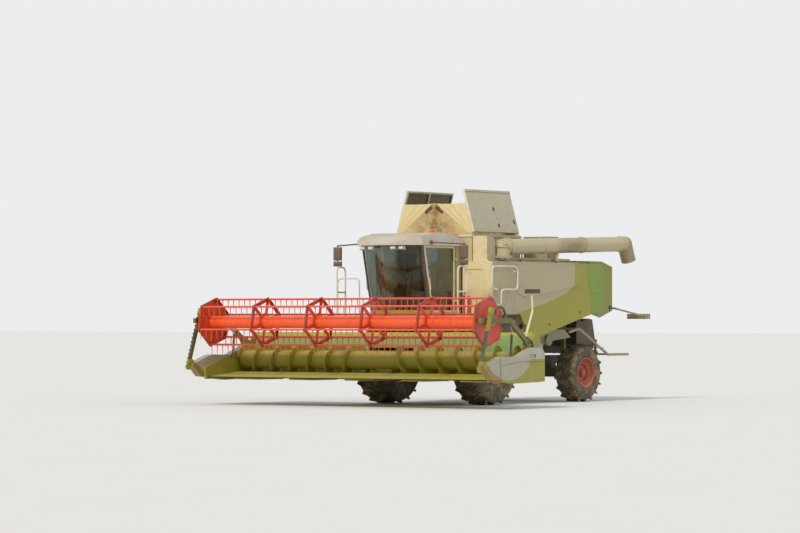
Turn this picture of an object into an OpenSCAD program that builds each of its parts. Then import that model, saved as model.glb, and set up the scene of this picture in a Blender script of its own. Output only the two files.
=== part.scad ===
// Self-propelled combine harvester with grain header and pick-up reel.
// Millimetres, +Z up. The machine drives towards -Y and its left side is +X.
// Lengths along Y are measured from the front axle; the whole model is then shifted so that
// its origin lies at the middle of its footprint, on the ground.

/* [Running gear] */
// Distance between the front and the rear axle
wheelbase = 3750; // [3600:10:3950]
// Outer diameter of a front tyre
front_tyre_d = 1790; // [1740:10:1840]
// Width of a front tyre
front_tyre_w = 650; // [600:10:680]
// Gap between the body's side wall and a front tyre
front_tyre_gap = 225; // [210:5:270]
// Outer diameter of a rear tyre
rear_tyre_d = 1310; // [1260:10:1340]
// Width of a rear tyre
rear_tyre_w = 500; // [440:10:520]
// Distance between the middles of the rear tyres
rear_track = 2500; // [2460:10:2560]
// Depth of the tyre lugs
lug_depth = 40; // [30:1:50]

/* [Body] */
// Width of the threshing body between its side walls
body_w = 1500; // [1440:10:1560]
// Width over the outer faces of the side panels
panel_outer_w = 3180; // [3100:10:3240]
// Length of the body behind the front axle
body_len = 5200; // [5100:10:5300]
// Height of the underside of the body at the front
body_bottom = 1050; // [1000:10:1090]
// Thickness of sheet walls and panels
sheet_t = 20; // [14:1:24]

/* [Grain tank] */
// Inner width of the grain tank opening
tank_w = 2040; // [1900:10:2100]
// Length of the grain tank opening along the machine
tank_len = 1850; // [1750:10:1900]
// Height of the tank rim
tank_top = 3720; // [3680:10:3780]
// Length of a tank lid from its hinge to its free edge
lid_reach = 985; // [940:5:1000]
// Angle of the open lids from the horizontal
lid_open = 74; // [70:1:78]

/* [Cab] */
// Outer width of the cab at its pillars
cab_w = 1600; // [1540:10:1640]
// Height of the cab floor
cab_floor = 1950; // [1900:10:1990]
// Height of the lower face of the cab roof
cab_top = 3450; // [3400:10:3490]
// Distance of the windshield's upper edge ahead of the front axle
cab_front = 1640; // [1580:10:1700]

/* [Header] */
// Width of the cut between the inner faces of the dividers
cut_w = 7500; // [7400:10:7560]
// Distance of the header back wall ahead of the front axle
header_back = 1640; // [1600:10:1680]
// Height of the upper edge of the header back wall
header_top = 1580; // [1540:10:1620]
// Diameter of the intake auger over its flights
auger_d = 660; // [600:10:680]
// Pitch of the intake auger flights
auger_pitch = 500; // [450:10:560]

/* [Reel] */
// Length of the reel over its end plates
reel_len = 7360; // [7300:10:7400]
// Radius from the reel axis to a tine bar
reel_r = 500; // [460:5:520]
// Height of the reel axis
reel_z = 1800; // [1760:10:1840]
// Distance of the reel axis ahead of the front axle
reel_y = 3240; // [3200:10:3300]
// Distance between two tines on a bar
tine_pitch = 152; // [145:1:170]
// Length of a tine below its bar
tine_len = 210; // [180:5:240]

/* [Unloading auger] */
// Diameter of the unloading auger tube
tube_d = 340; // [300:10:360]
// Height of the tube axis at its turret
tube_z = 3440; // [3400:10:3480]
// Length of the tube from its elbow to its spout
tube_len = 4940; // [4700:10:5040]
// Rise of the tube towards its spout, in degrees
tube_rise = 1.8; // [1:0.1:2.4]

/* [Hidden] */

// Running clearance between bodies and seat clearance between faces
gap = 6;
fit = 0.3;
// Bore clearance round pins
pin_gap = 0.5;

lime = [0.60, 0.66, 0.15];
panel_grey = [0.72, 0.71, 0.66];
cream = [0.82, 0.80, 0.73];
reel_orange = [0.95, 0.35, 0.18];
dark_red = [0.50, 0.10, 0.08];
rubber = [0.10, 0.10, 0.10];
dark = [0.16, 0.16, 0.17];
steel = [0.62, 0.62, 0.62];
glass = [0.35, 0.45, 0.48, 0.5];

// Upright rapeseed knives: places of their upper and lower ends, along and up
knife_x = 3875;
knife_top = [-3470, 2020];
knife_foot = [-3900, 790];
knife_bite = 45;
knife_teeth = 14;
knife_len = norm(knife_top - knife_foot);
knife_lean = atan2(knife_top[0] - knife_foot[0], knife_top[1] - knife_foot[1]);

// Reach of the upright knives ahead of the front axle, and of the lamp arms behind it
front_reach = -knife_foot[0] + knife_bite * cos(knife_lean)
    - knife_len / knife_teeth / 2 * sin(knife_lean);
rear_reach = 6300;
y_shift = (front_reach - rear_reach) / 2;

front_axle_z = front_tyre_d / 2;
rear_axle_z = rear_tyre_d / 2;
side_x = panel_outer_w / 2;
tank_y0 = -100;
tank_y1 = tank_y0 + tank_len;

// Moves a module drawn from the front axle to the model's own origin
module placed() { translate([0, y_shift, 0]) children(); }

// A copy on each side of the machine
module both_sides() { children(); mirror([1, 0, 0]) children(); }

// A plate in the YZ plane from a side outline, between two distances from the middle
module side_plate(x0, x1, outline) {
    translate([x0, 0, 0]) rotate([90, 0, 90]) linear_extrude(x1 - x0) polygon(outline);
}

// A round bar between two points
module bar(a, b, d, ends = 0) {
    v = b - a;
    l = norm(v);
    translate(a) rotate([0, acos(v[2] / l), atan2(v[1], v[0])])
        translate([0, 0, -ends]) cylinder(d = d, h = l + 2 * ends, $fn = 24);
}

// Bars along a chain of points, with a ball at each bend
module rail(points, d) {
    for (i = [0:len(points) - 2]) bar(points[i], points[i + 1], d);
    for (i = [1:1:len(points) - 2]) translate(points[i]) sphere(d = d + 3, $fn = 24);
}

// A cylinder along X, centred on its axis point
module x_cyl(x0, x1, y, z, d, fn = 48) {
    translate([x0, y, z]) rotate([0, 90, 0]) cylinder(d = d, h = x1 - x0, $fn = fn);
}

// A cylinder along Y between two distances
module y_cyl(x, y0, y1, z, d, fn = 48) {
    translate([x, y0, z]) rotate([-90, 0, 0]) cylinder(d = d, h = y1 - y0, $fn = fn);
}

// A box between two corners
module block(a, b) { translate(a) cube(b - a); }

// Wheels: discs lie outside the middle of each rim by these distances
front_wheel_x = body_w / 2 + front_tyre_gap + front_tyre_w / 2;
rear_wheel_x = rear_track / 2;
front_rim_d = 860;
rear_rim_d = 650;
rim_t = 16;
front_disc_x = front_wheel_x + 40;
rear_disc_x = rear_wheel_x + 60;
hub_d = 300;
stub_d = 190;

// Main rails
rail_x0 = 480;
rail_t = 90;
rail_x1 = rail_x0 + rail_t;
rail_z0 = body_bottom - 190;
rail_y0 = -420;
rail_y1 = body_len - 900;
axle_tube_d = 250;

// Trailer hitch at the rear of the rails
hitch_y = rail_y1 + 120;
hitch_d = 32;
hitch_t = 30;
hitch_z = rail_z0 + 40;

// Feeder house hinge, and the lift cylinders below it
feeder_w = 1300;
feeder_hinge_y = -270;
feeder_hinge_z = 1600;
feeder_pin_d = 70;
lift_x = rail_x1 + 70;
lift_base_y = -340;
lift_base_z = rail_z0 + 90;
lift_eye_y = -1250;
lift_eye_z = 640;
lift_pin_d = 50;
lift_eye_d = 34;
lift_play = 18;
eye_w = 60;

module chassis() color(dark) placed() {
    both_sides() {
        difference() {
            side_plate(rail_x0, rail_x1, [
                [rail_y0, rail_z0], [-260, front_axle_z - 190], [260, front_axle_z - 190],
                [420, rail_z0], [rail_y1, rail_z0], [rail_y1, body_bottom],
                [rail_y0, body_bottom]]);
            x_cyl(rail_x0 - 1, rail_x1 + 1, 0, front_axle_z, axle_tube_d + 2 * fit);
        }
        x_cyl(rail_x1 - 1, lift_x + eye_w / 2 + 10, lift_base_y, lift_base_z, lift_pin_d, 32);
    }
    // Cross members between the rails
    for (y = [600, 2200, rail_y1 - 120])
        block([-rail_x0, y, rail_z0 + 20], [rail_x0, y + 120, body_bottom - 20]);
    difference() {
        block([-110, rail_y1 - 120, hitch_z], [110, hitch_y + 70, hitch_z + hitch_t]);
        translate([0, hitch_y, hitch_z - 1]) cylinder(d = hitch_d, h = hitch_t + 2);
    }
}

module front_axle() color(dark) placed() both_sides() {
    x_cyl(0, front_disc_x - 300, 0, front_axle_z, axle_tube_d);
    // Final drive housing, lowered in front of the tube
    final_drive();
    x_cyl(front_disc_x - 420, front_disc_x - fit, 0, front_axle_z, hub_d);
    x_cyl(front_disc_x - 1, front_disc_x + 70, 0, front_axle_z, stub_d);
}

// Final drive housing with its flange
module final_drive() {
    x0 = body_w / 2 + gap;
    x_cyl(x0 + 20, x0 + 150, 0, front_axle_z, 440);
    x_cyl(x0, x0 + 20, 0, front_axle_z, 500);
    block([x0 + 20, -180, front_axle_z], [x0 + 130, 180, front_axle_z + 300]);
}

// Threshing body: outline seen from the side, from the feeder opening to the rear
body_top = 2300;
body_y0 = -200;
body_y1 = 3300;
front_top = cab_floor - 10;
module threshing_body() color(panel_grey) placed() {
    difference() {
        side_plate(-body_w / 2, body_w / 2, [
            [body_y0, body_bottom], [2950, body_bottom], [3150, 1340], [rail_y1 - 100, 1450],
            [body_y1 + 400, 1800], [body_y1, body_top], [tank_y1, body_top],
            [tank_y1, front_top], [body_y0, front_top]]);
        // Mouth of the feeder opening
        block([-feeder_w / 2 + 60, body_y0 - 1, 1300], [feeder_w / 2 - 60, body_y0 + 250, 1800]);
        // Rounded belly between the rails stays clear of the axle tube
        x_cyl(-rail_x0, rail_x0, 0, front_axle_z, axle_tube_d + 2 * gap);
    }
    both_sides() {
        // Ear and pin of the feeder hinge
        side_plate(feeder_w / 2 + gap, body_w / 2, [
            [body_y0 + 1, 1420], [feeder_hinge_y - 80, 1500], [feeder_hinge_y - 80, 1700],
            [body_y0 + 1, 1780]]);
        x_cyl(feeder_w / 2 - 60, feeder_w / 2 + gap + 1, feeder_hinge_y, feeder_hinge_z,
            feeder_pin_d);
        // Side box behind the front wheel, with a rounded lower edge
        difference() {
            side_plate(body_w / 2 - 1, 1420, [
                [1150, 820], [1250, 720], [1900, 720], [2050, 900], [2050, 1330], [1150, 1330]]);
            block([1340, 1220, 800], [1421, 1980, 1250]);
        }
        // Belt pulleys and shields on the side wall, under the panels
        for (p = pulleys)
            x_cyl(body_w / 2 - 1, body_w / 2 + 70, p[0], p[1], p[2]);
        // Hinge beam of the side panel along the machine
        block([body_w / 2 - 1, tank_y1 + 20, body_top - 90],
            [body_w / 2 + 120, body_y1, body_top - 30]);
    }
}

// Pulleys on the side walls: along, up, diameter
pulleys = [[1500, 1620, 560], [2350, 1550, 460], [2950, 1900, 520], [3230, 1380, 240]];

// Grain tank: hopper walls inside a rectangular box
tank_x = tank_w / 2 + sheet_t;
hopper_w = 1100;
tank_floor = front_top + 60;
module grain_tank() color(panel_grey) placed() {
    difference() {
        union() {
            block([-tank_x, tank_y0, body_top + 250], [tank_x, tank_y1, tank_top]);
            rotate([90, 0, 0]) translate([0, 0, -tank_y1 + fit]) linear_extrude(tank_len - 2 * fit)
                polygon([[-tank_x, body_top + 251], [-body_w / 2, front_top + fit],
                    [body_w / 2, front_top + fit], [tank_x, body_top + 251]]);
            // Rim round the opening
            block([-tank_x - 25, tank_y0 - 25, tank_top - 60],
                [tank_x + 25, tank_y1 + 25, tank_top - 20]);
        }
        block([-tank_w / 2, tank_y0 + sheet_t, body_top + 280],
            [tank_w / 2, tank_y1 - sheet_t, tank_top + 1]);
        rotate([90, 0, 0]) translate([0, 0, -tank_y1 + sheet_t])
            linear_extrude(tank_len - 2 * sheet_t)
            polygon([[-tank_w / 2, body_top + 281], [-hopper_w / 2, tank_floor],
                [hopper_w / 2, tank_floor], [tank_w / 2, body_top + 281]]);
    }
    // Filling auger in the middle of the tank
    bar([0, 500, tank_floor - 5], [0, 900, tank_top - 350], 220);
    lid_lugs();
    gusset_pins();
}

// Side panels: outline along and up; the front part is fixed
panel_y0 = 760;
panel_t = 50;
panel_top = 3120;
panel_x0 = side_x - panel_t;
panel_hinge_x = panel_x0 - 30;
panel_hinge_z = panel_top + 15;
panel_outline = [[panel_y0, panel_top], [panel_y0, 1965], [950, 1965], [1340, 1400],
    [4190, 2070], [4330, 2400], [4330, 2950], [4150, panel_top]];

module side_panel() {
    difference() {
        union() {
            side_plate(panel_x0, side_x, panel_outline);
            // Bulged belt along the grey upper part
            side_plate(side_x - 1, side_x + 18, [[panel_y0 + 60, panel_top - 60],
                [panel_y0 + 60, 2420], [1250, 2330], [3300, 2620], [3560, panel_top - 60]]);
        }
        // Shut hollow on the inner side
        side_plate(panel_x0 - 1, side_x - 18, [[panel_y0 + 60, panel_top - 60],
            [panel_y0 + 60, 2080], [1050, 2040], [1400, 1520], [4120, 2150],
            [4250, 2420], [4250, 2900], [4100, panel_top - 60]]);
        // Cooling slots
        for (i = [0:4]) side_plate(side_x - 60, side_x + 30,
            [for (p = slot_outline) p + [0, 70 * i]]);
    }
    // Hinge arms that reach the hinge line, with their sleeves
    for (y = panel_hinges) difference() {
        union() {
            side_plate_y(y, 60, [[panel_hinge_x, panel_hinge_z - 20],
                [panel_x0 + 10, panel_top - 55], [panel_x0 + 10, panel_top - 1],
                [panel_hinge_x, panel_hinge_z + 20]]);
            y_cyl(panel_hinge_x, y, y + 60, panel_hinge_z, 50);
        }
        y_cyl(panel_hinge_x, y - 1, y + 61, panel_hinge_z, 24 + 2 * pin_gap);
    }
}
panel_hinges = [1100, 2500, 3800];
slot_outline = [[3700, 2480], [4200, 2480], [4200, 2510], [3700, 2510]];

// A plate in the XZ plane, standing at y and t thick
module side_plate_y(y, t, outline) {
    translate([0, y + t, 0]) rotate([90, 0, 0]) linear_extrude(t) polygon(outline);
}

module side_panel_left() color(lime) placed() side_panel();
module side_panel_right() color(lime) placed() mirror([1, 0, 0]) side_panel();

// Front wall beside the cab, with the fixed front part of each side panel
module front_wall() color(panel_grey) placed() both_sides() {
    difference() {
        side_plate_y(tank_y0 - 60, 50, [[cab_w / 2 + 30, 1965], [panel_x0 + 1, 1965],
            [panel_x0 + 1, panel_top + 3], [cab_w / 2 + 30, panel_top + 3]]);
        // Arched recess
        side_plate_y(tank_y0 - 61, 21, [[cab_w / 2 + 110, 2100], [side_x - 150, 2100],
            [side_x - 150, 2700], [side_x - 260, 2950], [cab_w / 2 + 110, 2950]]);
    }
    side_plate(panel_x0, side_x, [[tank_y0 - 60, 1965], [panel_y0 - gap, 1965],
        [panel_y0 - gap, panel_top], [tank_y0 - 60, panel_top]]);
    // Shelf above the panels, from the tank wall to the panel hinges
    difference() {
        block([tank_x + 26, tank_y0 - 10, panel_top + 2], [panel_x0 - 62, 3400, panel_top + 32]);
        block([tank_x, tank_y1, panel_top], [tank_x + 60, 3500, panel_top + 40]);
    }
    block([tank_x + fit, tank_y0 + 100, panel_top - 40], [tank_x + 60, tank_y1 - 50, panel_top + 3]);
    // Hinge pins of the side panel on short lugs
    for (y = panel_hinges) {
        translate([panel_hinge_x, y + 75, panel_hinge_z]) rotate([90, 0, 0])
            cylinder(d = 24, h = 90);
        for (s = [-15, 62]) side_plate_y(y + s, 13, [[panel_x0 - 64, panel_top + 3],
            [panel_hinge_x + 14, panel_top + 3], [panel_hinge_x + 14, panel_hinge_z + 16],
            [panel_x0 - 64, panel_hinge_z + 16]]);
    }
}

// Engine block across the machine, on the body behind the tank
engine_y0 = tank_y1 + 250;
engine_y1 = engine_y0 + 900;
module engine() color(dark) placed()
    block([-550, engine_y0, body_top + fit], [500, engine_y1, body_top + 780]);

// Deck over the engine with rotary screen, exhaust, box and rail
deck_z = body_top + 800;
deck_y1 = body_y1 + 150;
module engine_deck() color(cream) placed() {
    difference() {
        union() {
            block([-1250, tank_y1 + 26, deck_z - 20], [1250, deck_y1, deck_z]);
            both_sides() side_plate(1230, 1250, [[tank_y1 + 26, body_top - 30],
                [deck_y1, body_top - 30], [deck_y1, deck_z], [tank_y1 + 26, deck_z]]);
        }
        // Opening of the exhaust
        translate([-500, deck_y1 - 300, deck_z - 21]) cylinder(d = 180, h = 40);
    }
    // Supports of the side walls on the body
    both_sides() for (y = [tank_y1 + 150, body_y1 - 180])
        block([body_w / 2 + 121, y, body_top - 90], [1231, y + 80, body_top - 30]);
    // Covers: along, across, length, width, height
    for (c = deck_covers) translate([c[1], c[0], deck_z - 1]) cube([c[3], c[2], c[4]]);
    // Exhaust pipe with bend
    translate([-500, deck_y1 - 300, deck_z - 200]) cylinder(d = 150, h = 640);
    translate([-500, deck_y1 - 300, deck_z + 439]) rotate([-35, 0, 0]) cylinder(d = 150, h = 160);
    block([-620, deck_y1 - 420, deck_z - 200], [-380, deck_y1 - 180, deck_z - 19]);
    // Radiator screen on the right side wall
    translate([-1250 - 60, (engine_y0 + engine_y1) / 2, body_top + 400]) rotate([0, 90, 0])
        difference() {
            cylinder(d = 760, h = 62);
            translate([0, 0, -1]) cylinder(d = 700, h = 30);
        }
    rail([[500, tank_y1 + 120, deck_z - 1], [500, tank_y1 + 120, deck_z + 520],
        [1000, tank_y1 + 120, deck_z + 520], [1000, tank_y1 + 120, deck_z - 1]], 34);
}
deck_covers = [[tank_y1 + 250, -900, 700, 850, 60], [tank_y1 + 250, 20, 700, 420, 90],
    [tank_y1 + 1000, 440, 460, 640, 620]];

// Rear hood: closed housing behind the engine deck, with a bulged cap
hood_x = 1400;
cap_len = 260;
hood_y0 = deck_y1 + fit;
hood_outline = [[hood_y0, 2120], [rail_y1 + 120, 1900], [body_len - cap_len, 2060],
    [body_len - cap_len, 3060], [body_len - 700, 3180], [hood_y0, 3180]];
module rear_hood() color(lime) placed() {
    difference() {
        side_plate(-hood_x, hood_x, hood_outline);
        // Open underneath, where the straw leaves
        side_plate(-hood_x + sheet_t, hood_x - sheet_t, [[hood_y0 + sheet_t, 2000],
            [rail_y1 + 120, 1850], [body_len - cap_len - sheet_t, 2040],
            [body_len - cap_len - sheet_t, 2960], [hood_y0 + sheet_t, 3080]]);
        // Slots in the side walls
        for (i = [0:5]) side_plate(-hood_x - 1, hood_x + 1, [for (p = [[-640, 2500], [-340, 2500],
            [-340, 2525], [-640, 2525]]) p + [body_len, 75 * i]]);
    }
    // Bulged rear cap from one curved plan outline
    translate([0, 0, 2070]) linear_extrude(900) intersection() {
        translate([0, body_len - cap_r]) circle(r = cap_r, $fn = 96);
        translate([-hood_x, body_len - cap_len - 1]) square([2 * hood_x, cap_len + 1]);
    }
    // Brackets down to the rails' ends
    both_sides() block([rail_x0, rail_y1 - 90, body_bottom + fit], [rail_x1, rail_y1 - 30, 1990]);
}
cap_r = (cap_len * cap_len + hood_x * hood_x) / (2 * cap_len);

// Straw chopper below the hood, with knives seen from behind; Y from the body's end
chopper_x = 760;
chopper_y = -420;
chopper_z = 1520;
module chopper() color(dark) placed() translate([0, body_len, 0]) {
    difference() {
        side_plate(-chopper_x, chopper_x, [[-780, 1250], [-500, 1080], [-120, 1120],
            [0, 1380], [-120, 1860], [-300, 1880], [-780, 1750]]);
        side_plate(-chopper_x + sheet_t, chopper_x - sheet_t, [[-760, 1420], [-500, 1120],
            [100, 1000], [100, 1300], [-140, 1840], [-760, 1900]]);
    }
    x_cyl(-chopper_x + 1, chopper_x - 1, chopper_y, chopper_z, 200);
    for (i = [0:11], a = [0:120:240])
        translate([-chopper_x + 95 + i * 115, chopper_y, chopper_z]) rotate([a, 0, 0])
            translate([0, -20, 90]) cube([14, 40, 110]);
    // Spreader vanes and carrying plates up to the hood
    for (i = [-4:4]) side_plate(i * 150 - 5, i * 150 + 5, [[-140, 1120], [360, 1060],
        [360, 1120], [-125, 1200]]);
    block([-chopper_x, -150, 1200], [chopper_x, 370, 1212]);
    both_sides() {
        side_plate(chopper_x - sheet_t, chopper_x, [[-770, 1700], [-600, 1700],
            [-600, 2000], [-770, 2000]]);
        // Cross tube to the rails
        block([rail_x0, rail_y1 - body_len + fit, body_bottom - 120],
            [rail_x1, -640, body_bottom - 20]);
        block([rail_x0, -720, body_bottom - 121], [rail_x1, -640, 1215]);
    }
}

// Bent light guard tubes along each side, and the lamp arms behind
guard_d = 60;
guard_x = 1500;
module rear_guards() color(panel_grey) placed() both_sides() {
    rail([[guard_x, body_y1 - 300, 1570], [guard_x, body_y1 + 100, 1650],
        [guard_x, body_len - 600, 1060], [guard_x, body_len + 250, 1060]], guard_d);
    bar([guard_x, body_y1 + 100, 1650], [body_w / 2 + fit, body_y1 + 100, 1650], guard_d - 10);
    bar([guard_x, body_len, 1060], [chopper_x + 30, body_len, 1060], guard_d - 15);
    block([chopper_x + fit, body_len - 50, 1030], [chopper_x + 60, body_len - 10, 1400]);
    // Lamp arm with its bar across the end
    rail([[hood_x + fit + 22, body_len - 340, 2120], [hood_x + 64, body_len - 240, 2110],
        [hood_x + 70, rear_reach - 70, 1930]], 42);
    block([hood_x + fit, body_len - 390, 2070], [hood_x + 30, body_len - 300, 2170]);
    block([1000, rear_reach - 110, 1870], [side_x, rear_reach - 30, 1990]);
    for (x = [1030, 1440]) block([x, rear_reach - 31, 1890], [x + 110, rear_reach, 1970]);
}

// Rear steering axle on its pivot frame
axle_box_h = 200;
king_x = rear_wheel_x - 270;
king_d = 70;
king_h = 260;
module rear_axle() color(dark) placed() {
    difference() {
        union() {
            block([-king_x + 160, wheelbase - 90, rear_axle_z - axle_box_h / 2],
                [king_x - 160, wheelbase + 90, rear_axle_z + axle_box_h / 2]);
            both_sides() fork();
        }
        both_sides() translate([king_x, wheelbase, rear_axle_z - 300])
            cylinder(d = king_d, h = 600);
    }
    // King pins
    both_sides() translate([king_x, wheelbase, rear_axle_z - king_h / 2 - 40])
        cylinder(d = king_d, h = king_h + 80);
    // Pivot frame up to the rails
    block([-200, wheelbase - 60, rear_axle_z + axle_box_h / 2 - 1],
        [200, wheelbase + 60, rail_z0 - 30]);
    both_sides() block([199, wheelbase - 110, rail_z0 - 130],
        [rail_x1, wheelbase + 110, rail_z0 - fit]);
    block([-200, wheelbase - 110, rail_z0 - 130], [200, wheelbase + 110, rail_z0 - fit]);
    // Steering cylinder and tie rod behind the beam
    x_cyl(-420, 420, wheelbase + 150, rear_axle_z, 80);
    x_cyl(-king_x + 200, king_x - 200, wheelbase + 150, rear_axle_z, 36);
    both_sides() block([330, wheelbase + 89, rear_axle_z - 30],
        [370, wheelbase + 150, rear_axle_z + 30]);
}
module fork() {
    difference() {
        block([king_x - 200, wheelbase - 80, rear_axle_z - king_h / 2 - 40],
            [king_x + 60, wheelbase + 80, rear_axle_z + king_h / 2 + 40]);
        translate([king_x, wheelbase, rear_axle_z - king_h / 2 - gap])
            cylinder(d = 260, h = king_h + 2 * gap);
    }
}

// Steered knuckle: sleeve on the king pin, stub for the wheel, arm for the tie rod
module knuckle() {
    difference() {
        union() {
            translate([king_x, wheelbase, rear_axle_z - king_h / 2]) cylinder(d = 150, h = king_h);
            x_cyl(king_x + 40, rear_disc_x - fit, wheelbase, rear_axle_z, 170);
            x_cyl(rear_disc_x - 1, rear_disc_x + 50, wheelbase, rear_axle_z, 120);
            x_cyl(rear_disc_x - 60, rear_disc_x - fit, wheelbase, rear_axle_z, 240);
            translate([king_x - 30, wheelbase, rear_axle_z - 25]) cube([60, 200, 50]);
        }
        translate([king_x, wheelbase, rear_axle_z - king_h / 2 - 1])
            cylinder(d = king_d + 2 * pin_gap, h = king_h + 2);
    }
}
module knuckle_left() color(dark) placed() knuckle();
module knuckle_right() color(dark) placed() mirror([1, 0, 0]) knuckle();

// Rim at the middle plane x = 0: barrel, dished disc and hub bolts' ring
module rim(d, w, disc_x, bore) {
    rotate([0, 90, 0]) difference() {
        rotate_extrude($fn = 96) polygon([
            [d / 2 + 22, -w / 2], [d / 2 + 22, -w / 2 + 12], [d / 2 + 4, -w / 2 + 16],
            [d / 2 - 6, -w / 2 + 70], [d / 2 - 40, -w / 5], [d / 2 - 40, w / 5],
            [d / 2 - 6, w / 2 - 70], [d / 2 + 4, w / 2 - 16], [d / 2 + 22, w / 2 - 12],
            [d / 2 + 22, w / 2], [d / 2 - 8, w / 2], [d / 2 - 22, w / 2 - 66],
            [d / 2 - 54, disc_x + 60], [d / 2 - 120, disc_x + 62], [bore / 2 + 130, disc_x + rim_t],
            [bore / 2, disc_x + rim_t], [bore / 2, disc_x], [bore / 2 + 130, disc_x],
            [d / 2 - 120, disc_x + 46], [d / 2 - 54, disc_x + 44], [d / 2 - 54, -w / 5],
            [d / 2 - 22, -w / 2 + 66], [d / 2 - 8, -w / 2]]);
        for (a = [0:45:315]) rotate([0, 0, a]) translate([d / 2 - 150, 0, 0])
            cylinder(d = 44, h = w / 2);
    }
}

// Tyre at the middle plane: carcass, and two rows of slanted lugs
lug_turn = 35;
module tyre(d, w, rim_d, lugs) {
    base = d / 2 - lug_depth;
    rotate([0, 90, 0]) {
        rotate_extrude($fn = 64) polygon([
            [rim_d / 2 + 22 + fit, w / 2 - 55], [rim_d / 2 + 60, w / 2 - 12],
            [(rim_d + d) / 4, w / 2], [base - 60, w / 2 - 14], [base - 14, w / 2 - 50],
            [base, w / 4], [base, -w / 4], [base - 14, -w / 2 + 50], [base - 60, -w / 2 + 14],
            [(rim_d + d) / 4, -w / 2], [rim_d / 2 + 60, -w / 2 + 12],
            [rim_d / 2 + 22 + fit, -w / 2 + 55]]);
        intersection() {
            translate([0, 0, -w / 2]) cylinder(d = d, h = w, $fn = 96);
            for (s = [-1, 1], i = [0:lugs - 1])
                rotate([0, 0, (i + (s > 0 ? 0.5 : 0)) * 360 / lugs]) translate([base - 30, 0, 0])
                    rotate([s * lug_turn, 0, 0])
                        translate([0, -d * 0.014, s > 0 ? -w * 0.02 : w * 0.02 - w * 0.56])
                            lug_bar(d, w);
        }
    }
}
module lug_bar(d, w) { cube([lug_depth + 60, d * 0.028, w * 0.56]); }

front_lugs = 19;
rear_lugs = 16;
module front_place() { placed() translate([front_wheel_x, 0, front_axle_z]) children(); }
module rear_place() { placed() translate([rear_wheel_x, wheelbase, rear_axle_z]) children(); }
module front_rim() rim(front_rim_d, front_tyre_w - 60, front_disc_x - front_wheel_x,
    stub_d + 2 * pin_gap);
module rear_rim() rim(rear_rim_d, rear_tyre_w - 60, rear_disc_x - rear_wheel_x,
    120 + 2 * pin_gap);
module front_tyre() tyre(front_tyre_d, front_tyre_w, front_rim_d, front_lugs);
module rear_tyre() tyre(rear_tyre_d, rear_tyre_w, rear_rim_d, rear_lugs);
module rim_front_left() color(dark_red) front_place() front_rim();
module rim_front_right() color(dark_red) mirror([1, 0, 0]) front_place() front_rim();
module tyre_front_left() color(rubber) front_place() front_tyre();
module tyre_front_right() color(rubber) mirror([1, 0, 0]) front_place() front_tyre();
module rim_rear_left() color(dark_red) rear_place() rear_rim();
module rim_rear_right() color(dark_red) mirror([1, 0, 0]) rear_place() rear_rim();
module tyre_rear_left() color(rubber) rear_place() rear_tyre();
module tyre_rear_right() color(rubber) mirror([1, 0, 0]) rear_place() rear_tyre();

// Cab: floor, pillars and rear wall, hollow inside
cab_x = cab_w / 2;
cab_y1 = tank_y0 - 90;
cab_y0 = -cab_front;
pillar_t = 70;
sill_z = cab_floor + 80;
// Lean of the front pillars from the floor to the roof
pillar_lean = 330;
door_y1 = cab_y1 - 220;
door_y0 = cab_y0 + pillar_lean + 60;
module cab_frame() color(dark) placed() {
    // Floor with a rounded front
    difference() {
        union() {
            block([-cab_x, cab_y0 + pillar_lean, cab_floor], [cab_x, cab_y1, sill_z]);
            translate([0, 0, cab_floor]) linear_extrude(sill_z - cab_floor) intersection() {
                translate([0, cab_y0 + pillar_lean - 250 + shield_r]) circle(r = shield_r, $fn = 96);
                translate([-cab_x, cab_y0 + pillar_lean - 260]) square([2 * cab_x, 300]);
            }
        }
        // Recess of the door sill
        block([cab_x - 45, door_y0 - gap, sill_z - 30], [cab_x + 1, door_y1 + gap, sill_z + 1]);
    }
    // Front pillars lean forward to the roof
    both_sides() side_plate(cab_x - pillar_t, cab_x, [
        [cab_y0 + pillar_lean, sill_z - 1], [cab_y0 + pillar_lean + 50, sill_z - 1],
        [cab_y0 + 50, cab_top - fit], [cab_y0 - 10, cab_top - fit]]);
    // Rear pillars and the wall between them, with its window
    difference() {
        block([-cab_x, cab_y1 - pillar_t, sill_z - 1], [cab_x, cab_y1, cab_top - fit]);
        block([-cab_x + 150, cab_y1 - pillar_t - 1, 2500], [cab_x - 150, cab_y1 + 1, 3300]);
    }
    both_sides() side_plate(cab_x - 50, cab_x, [[door_y1 + 30, sill_z - 1],
        [cab_y1 - 1, sill_z - 1], [cab_y1 - 1, cab_top - fit], [door_y1 + 30, cab_top - fit]]);
    // Lower side wall on the right
    mirror([1, 0, 0]) side_plate(cab_x - 45, cab_x, [[cab_y0 + pillar_lean + 40, sill_z - 1],
        [door_y1 + 31, sill_z - 1], [door_y1 + 31, sill_z + 90],
        [cab_y0 + pillar_lean + 24, sill_z + 90]]);
    // Console beside the seat
    block([-620, -1050, sill_z - 1], [-380, -420, sill_z + 520]);
    // Beams that carry the cab in front of the body
    both_sides() block([380, -1250, cab_floor - 130], [500, body_y0 - fit, cab_floor + 1]);
    // Hinge lugs of the door
    for (z = door_hinges)
        block([cab_x - 1, door_y1 + 8, z - 30], [cab_x + 40, door_y1 + 60, z - gap / 2]);
    for (z = door_hinges) translate([cab_x + 20, door_y1 + 20, z - 30])
        cylinder(d = 16, h = 60);
}
door_hinges = [2250, 3150];
// Radius of the windshield in plan, from its rise over the cab's width
shield_rise = 250;
shield_r = (shield_rise * shield_rise + cab_x * cab_x) / (2 * shield_rise);
glass_t = 8;

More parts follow.
